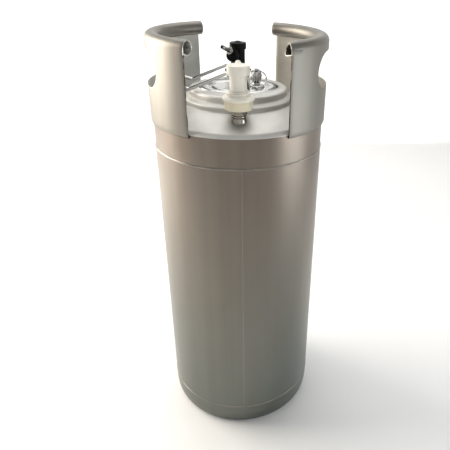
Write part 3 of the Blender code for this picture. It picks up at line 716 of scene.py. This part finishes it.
def make_panel(name, node, side, crush):
    """A handle panel: a sheet with a hand hole, curled inwards into a bead along its top."""
    bead_z = PANEL_TOP_Z - BEAD_RADIUS
    quarter = 5
    straight = 26
    frame_low = 0.5120
    half_deg = 43.0
    first_deg = -(90.0 - FRONT_GAP_DEG)
    last_deg = 90.0 - BACK_GAP_DEG
    sides = 7
    middle = evenly(-half_deg, half_deg, straight + 2 * quarter)
    before = evenly(first_deg, -half_deg, sides)
    after = evenly(half_deg, last_deg, sides)
    columns = before[:-1] + middle + after[1:]
    flank = evenly(frame_low, bead_z, 2 * quarter)
    verts = []
    faces = []

    def place(deg, radius, z):
        angle = math.radians(deg)
        verts.append((side * radius * math.cos(angle), radius * math.sin(angle), z))
        return len(verts) - 1

    def patch(rows):
        for low, high in zip(rows, rows[1:]):
            for i in range(len(low) - 1):
                faces.append((low[i], low[i + 1], high[i + 1], high[i]))

    patch([[place(deg, PANEL_RADIUS, z) for deg in columns] for z in evenly(PANEL_LOW_Z, frame_low, 6)])
    for strip in (before, after):
        patch([[place(deg, PANEL_RADIUS, z) for deg in strip] for z in flank])
    curl = []
    for angle in evenly(0.0, CURL_DEG, 30):
        row = []
        for deg in columns:
            c = math.cos(math.radians(angle))
            s = math.sin(math.radians(angle))
            shrink = 0.0
            if crush:
                near = max(0.0, 1.0 - (deg - first_deg) / 8.0)
                dent = max(0.0, math.sin(math.radians(angle - 60.0)))
                kink = 0.16 * abs(math.sin(math.radians(angle * 2.2 + 20.0)))
                shrink = near * near * (crush * dent + kink)
            radius = BEAD_RADIUS * (1.0 - shrink)
            row.append(place(deg, PANEL_RADIUS - BEAD_RADIUS + radius * c, bead_z + radius * s))
        curl.append(row)
    patch(curl)
    hole = hole_outline(4 * quarter, straight)
    hole = hole[-quarter:] + hole[:-quarter]
    top = [(deg, bead_z) for deg in middle]
    bottom = [(deg, frame_low) for deg in reversed(middle)]
    side_right = [(half_deg, z) for z in reversed(flank)]
    side_left = [(-half_deg, z) for z in flank]
    edge = top[:-1] + side_right[:-1] + bottom[:-1] + side_left[:-1]
    web = []
    for t in evenly(0.0, 1.0, 5):
        row = []
        for (y, z), (outer_deg, outer_z) in zip(hole, edge):
            inner_deg = math.degrees(math.asin(y / PANEL_RADIUS))
            deg = outer_deg + (inner_deg - outer_deg) * t
            row.append(place(deg, PANEL_RADIUS, outer_z + (z - outer_z) * t))
        web.append(row + row[:1])
    patch(web)
    item = new_object(name, verts, faces)
    skin = item.modifiers.new("Sheet", "SOLIDIFY")
    skin.thickness = PANEL_WALL
    skin.offset = -1.0
    skin.use_even_offset = True
    settle(item)
    ease(item, 0.0004, 50.0)
    dress_vessel(item, "panel", [node], 40.0)
    finish_panel_faces(item, side, first_deg, "weld" if crush else "polished")
    make_panel_weld(name, side, first_deg, last_deg)


def finish_panel_faces(item, side, first_deg, rim):
    """Inner faces, front cut edge and bead rims of a panel get finishes of their own; the inner faces are
    painted light, lighter on the left panel than the right.
    """
    # Painted light: the inner faces of the one sheet are coloured lighter than its outer face, the left
    # panel's most.
    item.data.materials.append(FINISHES["lining_painted_light" if side < 0 else "lining_painted_dim"])
    item.data.materials.append(FINISHES["cut_edge"])
    item.data.materials.append(FINISHES[rim])
    bead_z = PANEL_TOP_Z - BEAD_RADIUS
    core = PANEL_RADIUS - BEAD_RADIUS
    for face in item.data.polygons:
        flat = Vector((face.center.x, face.center.y, 0.0))
        outward = flat.normalized()
        along = Vector((-outward.y, outward.x, 0.0))
        to_core = outward * (core - flat.length) + Vector((0.0, 0.0, bead_z - face.center.z))
        end_cut = abs(face.normal.dot(along)) > 0.8 and face.area < EDGE_FACE_AREA
        if end_cut:
            at_front = abs(math.degrees(math.atan2(face.center.y, side * face.center.x)) - first_deg) < 1.0
            if face.center.z > bead_z - BEAD_RADIUS:
                face.material_index = 3
            elif at_front:
                face.material_index = 2
        elif face.center.z < bead_z - BEAD_RADIUS:
            if face.normal.dot(outward) < -0.5:
                face.material_index = 1
        elif to_core.length < 1.3 * BEAD_RADIUS and face.normal.dot(to_core) > 0.5 * to_core.length:
            face.material_index = 1


def make_panel_weld(name, side, first_deg, last_deg):
    """The very dark weld bead along a panel's lower edge."""
    path = []
    for deg in evenly(first_deg, last_deg, 90):
        angle = math.radians(deg)
        radius = PANEL_RADIUS - 0.0012 + 0.0001 * math.sin(angle * 140.0)
        path.append((side * radius * math.cos(angle), radius * math.sin(angle), PANEL_LOW_Z - 0.0002))
    item = new_object("weld_" + name, *swept(path, circle(0.0009, 8)))
    dress_vessel(item, "dark_weld", sharp_deg=60.0)


# ===== Posts


def make_post_set(prefix, side):
    """Bung, post, seal and poppet at one post hole."""
    at = (0, side * POST_OFFSET)
    bung = soften(above(POST_Z, [
        (0.0072, 0.0070), (0.0072, -0.0003, 0.0004),
        (0.0094, -0.0003, 0.0006), (0.0094, -0.0100), (0.0046, -0.0100), (0.0046, 0.0070),
    ]))
    item = turned(prefix + "_post_bung", bung, 64, at)
    dress(item, "fitting", "vessel", [prefix + "_bung"])
    fillet = soften(above(POST_Z, [
        (0.0093, 0.0001, 0.0003), (0.0096, -0.0014, 0.0005),
        (0.0102, -0.0052), (0.0090, -0.0052), (0.0090, -0.0002),
    ]))
    item = turned(prefix + "_bung_weld", fillet, 72, at)
    dress_vessel(item, "fitting")
    post = soften(above(POST_Z, [
        (0.0074, 0.0280, 0.0003), (0.0080, 0.0272, 0.0003),
        (0.0080, 0.0247, 0.0002), (0.0066, 0.0241, 0.0002),
        (0.0066, 0.0213, 0.0002), (0.0082, 0.0207, 0.0003),
        (0.0082, 0.0175, 0.0005), (0.0070, 0.0165, 0.0005),
        (0.0070, 0.0138, 0.0006), (0.0086, 0.0105, 0.0006),
        (0.0086, 0.0038, 0.0003), (0.0080, 0.0034, 0.0002),
        (0.0080, 0.0028, 0.0002), (0.0094, 0.0024, 0.0004),
        (0.0094, 0.0010, 0.0004), (0.0084, 0.0007, 0.0002),
        (0.0076, 0.0007), (0.0076, 0.0104), (0.0044, 0.0108),
        (0.0044, 0.0235), (0.0026, 0.0255), (0.0026, 0.0280, 0.0003),
    ]), steps=3)
    item = turned(prefix + "_ball_post", post, 64, at)
    low = POST_Z + 0.0038
    high = POST_Z + 0.0075
    flats = 0.0101 * math.cos(math.pi / 6)
    hexagon = bmesh.new()
    bmesh.ops.create_cone(
        hexagon, cap_ends=True, segments=6, radius1=0.0101, radius2=0.0101, depth=high - low
    )
    turn = Matrix.Rotation(math.radians(30.0), 4, "Z")
    spot = Matrix.Translation((at[0], at[1], (low + high) / 2))
    bmesh.ops.transform(hexagon, matrix=spot @ turn, verts=hexagon.verts)
    nut = object_of("hexagon", hexagon)
    chamfer = turned("chamfer", soften([
        (0.0, low - 0.0002), (flats + 0.0002, low - 0.0002), (0.0103, low + 0.0007),
        (0.0103, high - 0.0007), (flats + 0.0002, high + 0.0002), (0.0, high + 0.0002),
    ]), 64, at)
    cut(nut, [chamfer], "INTERSECT")
    bore = turned("bore", plug(0.0080, 0.6, 0.4), 64, at)
    cut(nut, [bore])
    cut(item, [nut], "UNION")
    dress(item, "fitting", "vessel", [prefix + "_post"], 30.0)
    ring = arc((0.0076, POST_Z + 0.0227), 0.0008, 0.0, -360.0, 14)[:-1]
    item = turned(prefix + "_post_seal", ring, 56, at)
    dress(item, "rubber", "vessel", [prefix + "_post_o_ring"])
    poppet = soften(above(POST_Z, [
        (0.0, 0.0276), (0.0020, 0.0276, 0.0005), (0.0020, 0.0246, 0.0004), (0.0036, 0.0232, 0.0004),
        (0.0038, 0.0186, 0.0003), (0.0014, 0.0183), (0.0014, 0.0135, 0.0003), (0.0, 0.0135),
    ]), closed=False)
    item = turned(prefix + "_post_poppet", poppet, 40, at)
    dress(item, "rubber", prefix + "_poppet", [prefix + "_poppet"])
    make_spring(
        prefix + "_poppet_coil", prefix + "_poppet_spring", "vessel", 0.0028, 0.00035,
        POST_Z + 0.0104, POST_Z + 0.0180, 3.5, at,
    )


def make_spring(name, node, body, radius, wire, low, high, turns, at):
    """A coil spring, with a mesh of its own."""
    count = round(turns * 20)
    points = []
    for i in range(count + 1):
        angle = TAU * turns * i / count
        z = low + wire + (high - low - 2 * wire) * i / count
        points.append((at[0] + radius * math.cos(angle), at[1] + radius * math.sin(angle), z))
    item = new_object(name, *swept(points, circle(wire, 8)))
    dress(item, "spring", body, [node], 60.0)
    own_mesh(item)


# ===== Lid


def make_lid():
    """The pressed oval lid and the seal under its edge."""
    outline = soften([
        (0.0, 0.5152), (0.0330, 0.5152, 0.003), (0.0352, 0.5136, 0.0016), (0.0395, 0.5136, 0.0016),
        (0.0425, 0.5153, 0.002), (0.0470, 0.5156, 0.002), (0.0502, 0.5148, 0.0016),
        (0.0516, 0.5122, 0.0015), (0.0520, 0.5080, 0.0008), (0.0585, 0.5076, 0.0006),
        (0.0585, 0.5050, 0.0004), (0.0500, 0.5050, 0.0010), (0.0490, 0.5120, 0.0015), (0.0, 0.5124),
    ], closed=False, steps=5)
    item = turned("keg_lid", outline, 160, oval=OVAL)
    hole = turned("lid_cut", plug(0.0048, 0.53, 0.50), 40, (VALVE_X, 0))
    cut(item, [hole])
    dress(item, "lid", "lid", ["lid"], 30.0)
    ring = arc((0.0552, 0.5103), 0.0024, 0.0, -360.0, 16)[:-1]
    item = turned("lid_o_ring", ring, 128, oval=OVAL)
    dress(item, "rubber", "lid", ["lid_seal"])
    for node, side in (("bail_clip_front", FRONT), ("bail_clip_back", BACK)):
        make_clip(node, side)


def make_clip(node, side):
    """A bail clip bent from strip: a welded foot and an upright ear with the hinge hole."""
    base = CLIP_BASE_Z
    thick = 0.0020
    half = 0.0065
    y = side * CLIP_Y
    ear = [(PIVOT_X - half, base), (PIVOT_X + half, base), (PIVOT_X + half, PIVOT_Z - 0.002)]
    crown = arc((PIVOT_X, PIVOT_Z), half, 0.0, 180.0, 20)
    outline = ear + crown + [(PIVOT_X - half, PIVOT_Z - 0.002)]
    verts = [(x, y - thick / 2, z) for x, z in outline] + [(x, y + thick / 2, z) for x, z in outline]
    count = len(outline)
    faces = [tuple(range(count)), tuple(range(count, 2 * count))]
    for i in range(count):
        j = (i + 1) % count
        faces.append((i, j, count + j, count + i))
    item = new_object("clip_" + node[10:], verts, faces)
    tab = bar("tab", (2 * half, 0.0090, 0.0016), (PIVOT_X, side * (CLIP_Y - 0.0040), base + 0.0008))
    cut(item, [tab], "UNION")
    hole = axial("hinge_hole", plug(0.0029, 0.01, -0.01), (PIVOT_X, y, PIVOT_Z), (0, 1, 0), 32)
    cut(item, [hole])
    ease(item, 0.00035, 40.0)
    dress(item, "polished", "lid", [node], 35.0)
    for dx in (-0.0033, 0.0033):
        spot = soften([(0.0, base + 0.0020), (0.0011, base + 0.0019, 0.0004),
                       (0.0014, base + 0.0012), (0.0, base + 0.0012)], closed=False)
        at = (PIVOT_X + dx, side * (CLIP_Y - 0.0050))
        pip = turned(f"spot_{node[10:]}_{'a' if dx < 0 else 'b'}", spot, 24, at)
        dress(pip, "weld", "lid")


def make_bail():
    """The bail wire and its rubber feet."""
    half = [
        (PIVOT_X, FOOT_Y, PIVOT_Z - 0.0080), (PIVOT_X, FOOT_Y, PIVOT_Z), (PIVOT_X, ARM_Y, PIVOT_Z),
        (-0.0150, ARM_Y, PIVOT_Z + 0.0082), (-0.0625, ARM_Y, 0.5168), (-0.0820, ARM_Y, 0.5220),
    ]
    mirrored = [(x, -y, z) for x, y, z in reversed(half)]
    path = rounded_path(half + mirrored, 0.0034, 8)
    item = new_object("bail_wire", *swept(path, circle(BAIL_WIRE_RADIUS, 18)))
    dress(item, "wire", "bail", ["bail"], 60.0)
    base = 0.5148
    foot = 0.0055
    outline = soften([
        (0.0, PIVOT_Z - 0.0083), (0.0028, PIVOT_Z - 0.0083), (0.0028, PIVOT_Z - 0.0040, 0.0004),
        (0.0052, PIVOT_Z - 0.0040, 0.0009), (0.0050, base + foot + 0.0016, 0.0010),
        (foot, base + foot - 0.0004, 0.0012), (0.0047, base + 0.0016, 0.0024),
        (0.0022, base, 0.0020), (0.0, base),
    ], closed=False, steps=6)
    for name, side in (("front", FRONT), ("back", BACK)):
        item = turned("rubber_foot_" + name, outline, 48, (PIVOT_X, side * FOOT_Y))
        dress(item, "rubber", "bail", ["bail_foot_" + name])


def make_relief_valve():
    """The relief valve: fluted cage, gasket, nut, stem, spring and pull ring."""
    at = (VALVE_X, 0)
    base = 0.5165
    top = 0.5325
    outline = soften([
        (0.0060, top + 0.0012, 0.0008), (0.0076, top - 0.0030, 0.0012),
        (0.0076, top - 0.0044, 0.0008), (0.0052, base + 0.0030, 0.0006),
        (0.0056, base + 0.0016, 0.0003), (0.0088, base + 0.0012, 0.0003), (0.0088, base, 0.0003),
        (0.0045, base), (0.0045, 0.5050), (0.0025, 0.5050), (0.0025, base + 0.0016),
        (0.0042, base + 0.0018), (0.0062, top - 0.0044), (0.0058, top - 0.0018),
        (0.0025, top - 0.0018), (0.0025, top + 0.0012),
    ], steps=4)
    item = turned("valve_cage", outline, 96, at)
    slots = [
        bar(f"slot_{i}", (0.03, 0.0026, 0.0092), (VALVE_X, 0, 0.5241), 22.5 + 45.0 * i)
        for i in range(4)
    ]
    cut(item, slots)
    ease(item, 0.00025, 50.0)
    dress(item, "satin", "lid", ["relief_valve_body"], 32.0)
    item = turned("valve_gasket", soften([
        (0.0089, base - 0.0003, 0.0003), (0.0089, 0.5151, 0.0003), (0.0050, 0.5151),
        (0.0050, base - 0.0003),
    ]), 56, at)
    dress(item, "rubber", "lid", ["relief_valve_gasket"])
    stem = soften([
        (0.0, EYE_Z + 0.0024), (0.0030, EYE_Z + 0.0022, 0.0008), (0.0038, EYE_Z + 0.0012, 0.0006),
        (0.0038, EYE_Z - 0.0012, 0.0006), (0.0021, EYE_Z - 0.0014, 0.0003), (0.0021, 0.5204),
        (0.0044, 0.5204, 0.0002), (0.0044, 0.5184, 0.0002), (0.0, 0.5184),
    ], closed=False)
    item = turned("valve_stem", stem, 56, at)
    hole = axial("eye", plug(0.00125, 0.01, -0.01), (VALVE_X, 0, EYE_Z), (1, 0, 0), 24)
    cut(item, [hole])
    dress(item, "satin", "relief_stem", ["relief_valve_stem"], 35.0)
    # Painted shade: below the cage top the stem is made near-black.
    finish_below(item, "core", top)
    slope = Vector((0, -1, -1)).normalized()
    centre = Vector((VALVE_X, 0, EYE_Z)) + slope * PULL_RING_RADIUS
    count = 72
    points = []
    for i in range(count):
        angle = TAU * i / count
        spoke = Vector((1, 0, 0)) * math.sin(angle) - slope * math.cos(angle)
        points.append(centre + spoke * PULL_RING_RADIUS)
    item = new_object("pull_ring", *swept(points, circle(PULL_RING_WIRE, 12), closed=True))
    dress(item, "wire", "relief_ring", ["relief_valve_ring"], 60.0)
    make_spring(
        "valve_coil", "relief_valve_spring", "lid", 0.0036, 0.0005,
        0.5207, 0.5304, 4, at,
    )


# ===== Connectors


def outlet_direction(turn_deg, rise_deg):
    """Unit vector of an outlet: turn from +Y about Z, and rise above level."""
    turn = math.radians(turn_deg)
    rise = math.radians(rise_deg)
    return Vector((
        -math.sin(turn) * math.cos(rise), math.cos(turn) * math.cos(rise), math.sin(rise)
    ))


def make_body(prefix, at, top_z, additions, bores):
    """A connector's body with its outlet."""
    outline = soften([
        (0.01025, top_z), (0.01025, 0.5237, 0.0002), (0.0140, 0.5237, 0.0003),
        (0.0140, 0.5225, 0.0003), (0.01025, 0.5225, 0.0002), (0.01025, 0.5085, 0.0004),
        (0.0087, 0.5085, 0.0003), (0.0087, 0.5265), (0.0040, 0.5265), (0.0040, 0.5289),
        (0.0075, 0.5289), (0.0075, top_z),
    ])
    item = turned(prefix + "_body_moulding", outline, 72, at)
    cut(item, additions, "UNION")
    cavity = turned(prefix + "_cavity", plug(CAVITY_RADIUS, top_z + 0.002, 0.5290), 72, at)
    cut(item, [cavity] + bores)
    return item


def make_common(prefix, side, finish, cap, ceiling, coil_top):
    """Cap, collar, pin, springs, seal and balls of a connector."""
    at = (0, side * POST_OFFSET)
    connector = prefix + "_connector"
    item = turned(prefix + "_cap_moulding", cap, 72, at)
    dress(item, finish, connector, [prefix + "_connector_cap"], 34.0)
    collar = soften([
        (0.0119, 0.5284, 0.0004), (0.0119, 0.5266, 0.0003), (0.0138, 0.5264, 0.0005),
        (0.0139, 0.5244, 0.0005), (0.0131, 0.5240, 0.0003), (0.0134, 0.5229, 0.0006),
        (0.0176, 0.5212, 0.0012), (0.0194, 0.5207, 0.0005), (0.0195, 0.5180, 0.0005),
        (0.0168, SKIRT_JOIN_Z, 0.0003), (0.0171, 0.5160, 0.0004), (0.0167, 0.5065, 0.0006),
        (0.0126, 0.5065, 0.0004), (0.0126, 0.5148), (0.0150, 0.5148), (0.0150, 0.5222),
        (0.0110, 0.5243), (0.0107, 0.5284, 0.0004),
    ], steps=5)
    item = turned(prefix + "_collar_moulding", collar, 96, at)
    dress(item, finish, prefix + "_collar", [prefix + "_connector_collar"], 26.0)
    # Painted shade: below the join the white collar takes the darker, warmer copy of its white.
    if finish == "white":
        finish_below(item, "white_in_shade", SKIRT_JOIN_Z)
    pin = soften([
        (0.0, 0.5382), (0.0020, 0.5382, 0.0004), (0.0020, 0.5320, 0.0004), (0.0060, 0.5320, 0.0005),
        (0.0060, 0.5292, 0.0005), (0.0018, 0.5292, 0.0004), (0.0018, 0.5245, 0.0004), (0.0, 0.5245),
    ], closed=False)
    item = turned(prefix + "_pin_moulding", pin, 48, at)
    dress(item, "white", prefix + "_pin", [prefix + "_connector_pin"])
    ring = soften([
        (0.0100, ceiling - 0.0003, 0.0002), (0.0100, ceiling - 0.0012, 0.0002),
        (0.0078, ceiling - 0.0012, 0.0002), (0.0078, ceiling - 0.0003, 0.0002),
    ])
    item = turned(prefix + "_cap_gasket", ring, 56, at)
    dress(item, "rubber", prefix + "_connector_core", [prefix + "_connector_cap_seal"])
    make_spring(
        prefix + "_collar_coil", connector + "_collar_spring", connector, 0.0134, 0.0005,
        0.5151, 0.5222, 3, at,
    )
    make_spring(
        prefix + "_pin_coil", connector + "_pin_spring", connector + "_core", 0.0046, 0.0004,
        0.5323, coil_top, 5, at,
    )
    for i in range(3):
        angle = TAU * (i + 0.25) / 3
        shape = bmesh.new()
        spot = (BALL_CIRCLE * math.cos(angle), at[1] + BALL_CIRCLE * math.sin(angle), BALL_Z)
        bmesh.ops.create_icosphere(
            shape, subdivisions=3, radius=BALL_RADIUS, matrix=Matrix.Translation(spot)
        )
        item = object_of(f"{prefix}_lock_ball_{i + 1}", shape)
        node = f"{connector}_ball_{i + 1}"
        dress(item, "polished", connector, [node])


def make_gas_connector():
    """The off-white gas connector with its moulded barb."""
    at = (0, FRONT * POST_OFFSET)
    root = Vector((0, at[1], 0.5345))
    axis = outlet_direction(0.0, 28.0)
    reach = 0.0396
    tube = [(0.0, reach + 0.0016), (0.0032, reach + 0.0014, 0.0014), (0.0042, reach - 0.0020, 0.0012)]
    for i in range(3):
        start = reach - 0.0012 - i * 0.0062
        tube += [(0.0043, start - 0.0040, 0.0003), (0.0034, start - 0.0046, 0.0002)]
        tube += [(0.0030, start - 0.0058, 0.0003)] if i < 2 else []
    tube += [(0.0031, 0.0125, 0.0010), (0.0042, 0.0100), (0.0042, 0.0088), (0.0, 0.0088)]
    barb = axial("gas_tube", soften(tube, closed=False), root, axis, 40)
    bore = axial("gas_bore", plug(0.0020, 0.05, 0.0062), root, axis, 32)
    item = make_body("gas", at, 0.5530, [barb], [bore])
    ease(item, 0.0002, 50.0)
    dress(item, "white", "gas_connector", ["gas_connector_body"], 34.0)
    cap = soften([
        (0.0, 0.5566), (0.0098, 0.5566, 0.0006), (0.0104, 0.5570, 0.0006),
        (0.01345, 0.5570, 0.0009), (0.01345, 0.5463, 0.0005), (0.0108, 0.5463, 0.0003),
        (0.0108, 0.5545), (0.0, 0.5545),
    ], closed=False, steps=5)
    make_common("gas", FRONT, "white", cap, 0.5545, 0.5539)


def make_liquid_connector():
    """The black liquid connector with its screwed-in steel barb."""
    at = (0, BACK * POST_OFFSET)
    root = Vector((0, at[1], LIQUID_OUTLET_Z))
    axis = outlet_direction(LIQUID_OUTLET_TURN_DEG, LIQUID_OUTLET_RISE_DEG)
    boss = axial("boss", soften([
        (0.0, 0.0197), (0.0048, 0.0197, 0.0003), (0.0050, 0.0193, 0.0003), (0.0068, 0.0193, 0.0007),
        (0.0068, 0.0168, 0.0012), (0.0028, 0.0141, 0.0010), (0.0028, 0.0082), (0.0, 0.0082),
    ], closed=False), root, axis, 48)
    web = axial("web", soften([
        (0.0, 0.0190), (0.0092, 0.0190, 0.0036), (0.0094, 0.0138, 0.0044), (0.0046, 0.0030),
        (0.0, 0.0030),
    ], closed=False), root - Vector((0, 0, 0.0042)), axis, 48)
    skirt = axial("boss_skirt", soften([
        (0.0, 0.0150), (0.0046, 0.0150, 0.0014), (0.0036, 0.0070), (0.0, 0.0070),
    ], closed=False), root - Vector((0, 0, 0.0092)), axis, 40)
    bore = axial("boss_bore", [(0.0, 0.05), (0.0026, 0.05), (0.0026, 0.0141), (0.0015, 0.0141),
                               (0.0015, 0.006), (0.0, 0.006)], root, axis, 32)
    item = make_body("liquid", at, 0.5540, [boss, web, skirt], [bore])
    ease(item, 0.0002, 50.0)
    dress(item, "black", "liquid_connector", ["liquid_connector_body"], 34.0)
    cap = soften([
        (0.0, 0.5603), (0.0036, 0.5600, 0.0020), (0.0070, 0.5578, 0.0020), (0.0098, 0.5571, 0.0006),
        (0.0106, 0.5580, 0.0005), (0.01215, 0.5580, 0.0008), (0.01215, 0.5490, 0.0008),
        (0.0108, 0.5490, 0.0003), (0.0108, 0.5555), (0.0, 0.5555),
    ], closed=False, steps=5)
    make_common("liquid", BACK, "black", cap, 0.5555, 0.5549)
    tip = 0.0420
    tube = [(0.0021, tip), (0.0027, tip, 0.0002)]
    for i in range(3):
        start = tip - 0.0004 - i * 0.0058
        tube += [(0.0033, start - 0.0042, 0.0003), (0.0027, start - 0.0044, 0.0002)]
    tube += [
        (0.0027, 0.0232, 0.0004), (0.0052, 0.0230, 0.0005), (0.0052, 0.0200, 0.0004),
        (0.0022, 0.0200), (0.0022, 0.0145), (0.0018, 0.0145), (0.0018, 0.0380),
    ]
    item = axial("steel_barb", soften(tube), root, axis, 40)
    dress(item, "polished", "liquid_connector", ["liquid_connector_barb"], 34.0)


# ===== Stage


def make_stage():
    """Floor, lights and world."""
    stage_mat, tree, shader = shader_of("floor_paper")
    shader.inputs["Roughness"].default_value = 0.9
    grain = object_noise(tree, 3.0, (1, 1, 1), 2.0)
    tree.links.new(
        ramp(tree, grain, [(0.0, (0.80, 0.80, 0.80)), (1.0, (0.84, 0.84, 0.84))]),
        shader.inputs["Base Color"],
    )
    profile = [(0.0, 0.0), (0.6, 0.0), (1.2, 0.0), (FLOOR_FLAT, 0.0)]
    profile += arc((FLOOR_FLAT, FLOOR_BEND), FLOOR_BEND, -90.0, 0.0, 16)[1:]
    profile += [(FLOOR_FLAT + FLOOR_BEND, FLOOR_WALL_TOP)]
    floor = new_object("floor", *revolved(profile, FLOOR_SIDES, closed=False))
    floor.data.flip_normals()
    floor.data.materials.append(stage_mat)
    floor.data.shade_smooth()
    lamp("key_left", (-1.25, 0.45, 0.70), (0.0, 0.0, 0.30), 1.1, 38.0, (1.0, 0.93, 0.82))
    lamp("fill_right", (1.25, -0.35, 0.12), (0.0, 0.0, 0.06), 0.8, 8.0, (0.90, 0.97, 1.0))
    lamp("top", (0.0, 0.8, 2.2), (0.0, 0.2, 0.4), 2.0, 30.0, (1.0, 0.99, 0.97))
    lamp("backdrop", (0.0, 1.2, 0.9), (0.0, 2.9, 1.0), 1.6, 30.0, (1.0, 1.0, 1.0))
    spot = lamp("front_spot", (0.15, -1.3, 1.9), (0.0, 0.0, 0.53), 0.5, 12.0, (1.0, 0.99, 0.97), "SPOT")
    spot.data.spot_size = math.radians(16.0)
    spot.data.spot_blend = 1.0
    world = bpy.data.worlds.new("studio")
    bpy.context.scene.world = world
    world.use_nodes = True
    back = world.node_tree.nodes["Background"]
    back.inputs["Color"].default_value = (0.80, 0.86, 0.90, 1.0)
    back.inputs["Strength"].default_value = 0.22
    bpy.context.scene.view_settings.view_transform = "Standard"


def lamp(name, at, target, size, power, colour, kind="AREA"):
    """A soft light that faces a point and isn't seen itself."""
    data = bpy.data.lights.new(name, kind)
    if kind == "AREA":
        data.size = size
    else:
        data.shadow_soft_size = size / 2
    data.energy = power
    data.color = colour
    item = bpy.data.objects.new(name, data)
    item.location = at
    aim = Vector(target) - Vector(at)
    item.rotation_euler = aim.to_track_quat("-Z", "Y").to_euler()
    item.visible_camera = False
    bpy.context.scene.collection.objects.link(item)
    return item


def make_camera():
    """A viewpoint a little above the keg, in front and slightly to one side."""
    yaw, pitch, roll = (math.radians(angle) for angle in CAMERA_YAW_PITCH_ROLL_DEG)
    forward = Vector((
        math.sin(yaw) * math.cos(pitch), math.cos(yaw) * math.cos(pitch), -math.sin(pitch)
    ))
    right = forward.cross(Vector((0, 0, 1))).normalized()
    up = right.cross(forward)
    across = right * math.cos(roll) + up * math.sin(roll)
    upward = up * math.cos(roll) - right * math.sin(roll)
    data = bpy.data.cameras.new("photo_view")
    data.sensor_width = 36.0
    data.lens = CAMERA_LENS_MM
    data.shift_x = CAMERA_SHIFT_X
    data.clip_start = 0.01
    camera = bpy.data.objects.new("photo_view", data)
    turn = Matrix((across, upward, -forward)).transposed().to_4x4()
    camera.matrix_world = Matrix.Translation(CAMERA_AT) @ turn
    bpy.context.scene.collection.objects.link(camera)
    bpy.context.scene.camera = camera


def finish_frame_nodes():
    """Give every CAD node that still shows a procedural finish."""
    slots = {part["node"]: part["material_slot"] for part in frame["record"]["subparts"]}
    for name, item in frame["nodes"].items():
        item.data.materials.clear()
        item.data.materials.append(FINISHES[SLOT_FINISH[slots[name]]])


make_camera()
make_stage()
make_shell()
make_heads()
make_foot_ring()
make_panel("handle_right", "right_handle", 1, 0.45)
make_panel("handle_left", "left_handle", -1, 0.0)
make_post_set("gas", FRONT)
make_post_set("liquid", BACK)
make_lid()
make_bail()
make_relief_valve()
make_gas_connector()
make_liquid_connector()
finish_frame_nodes()
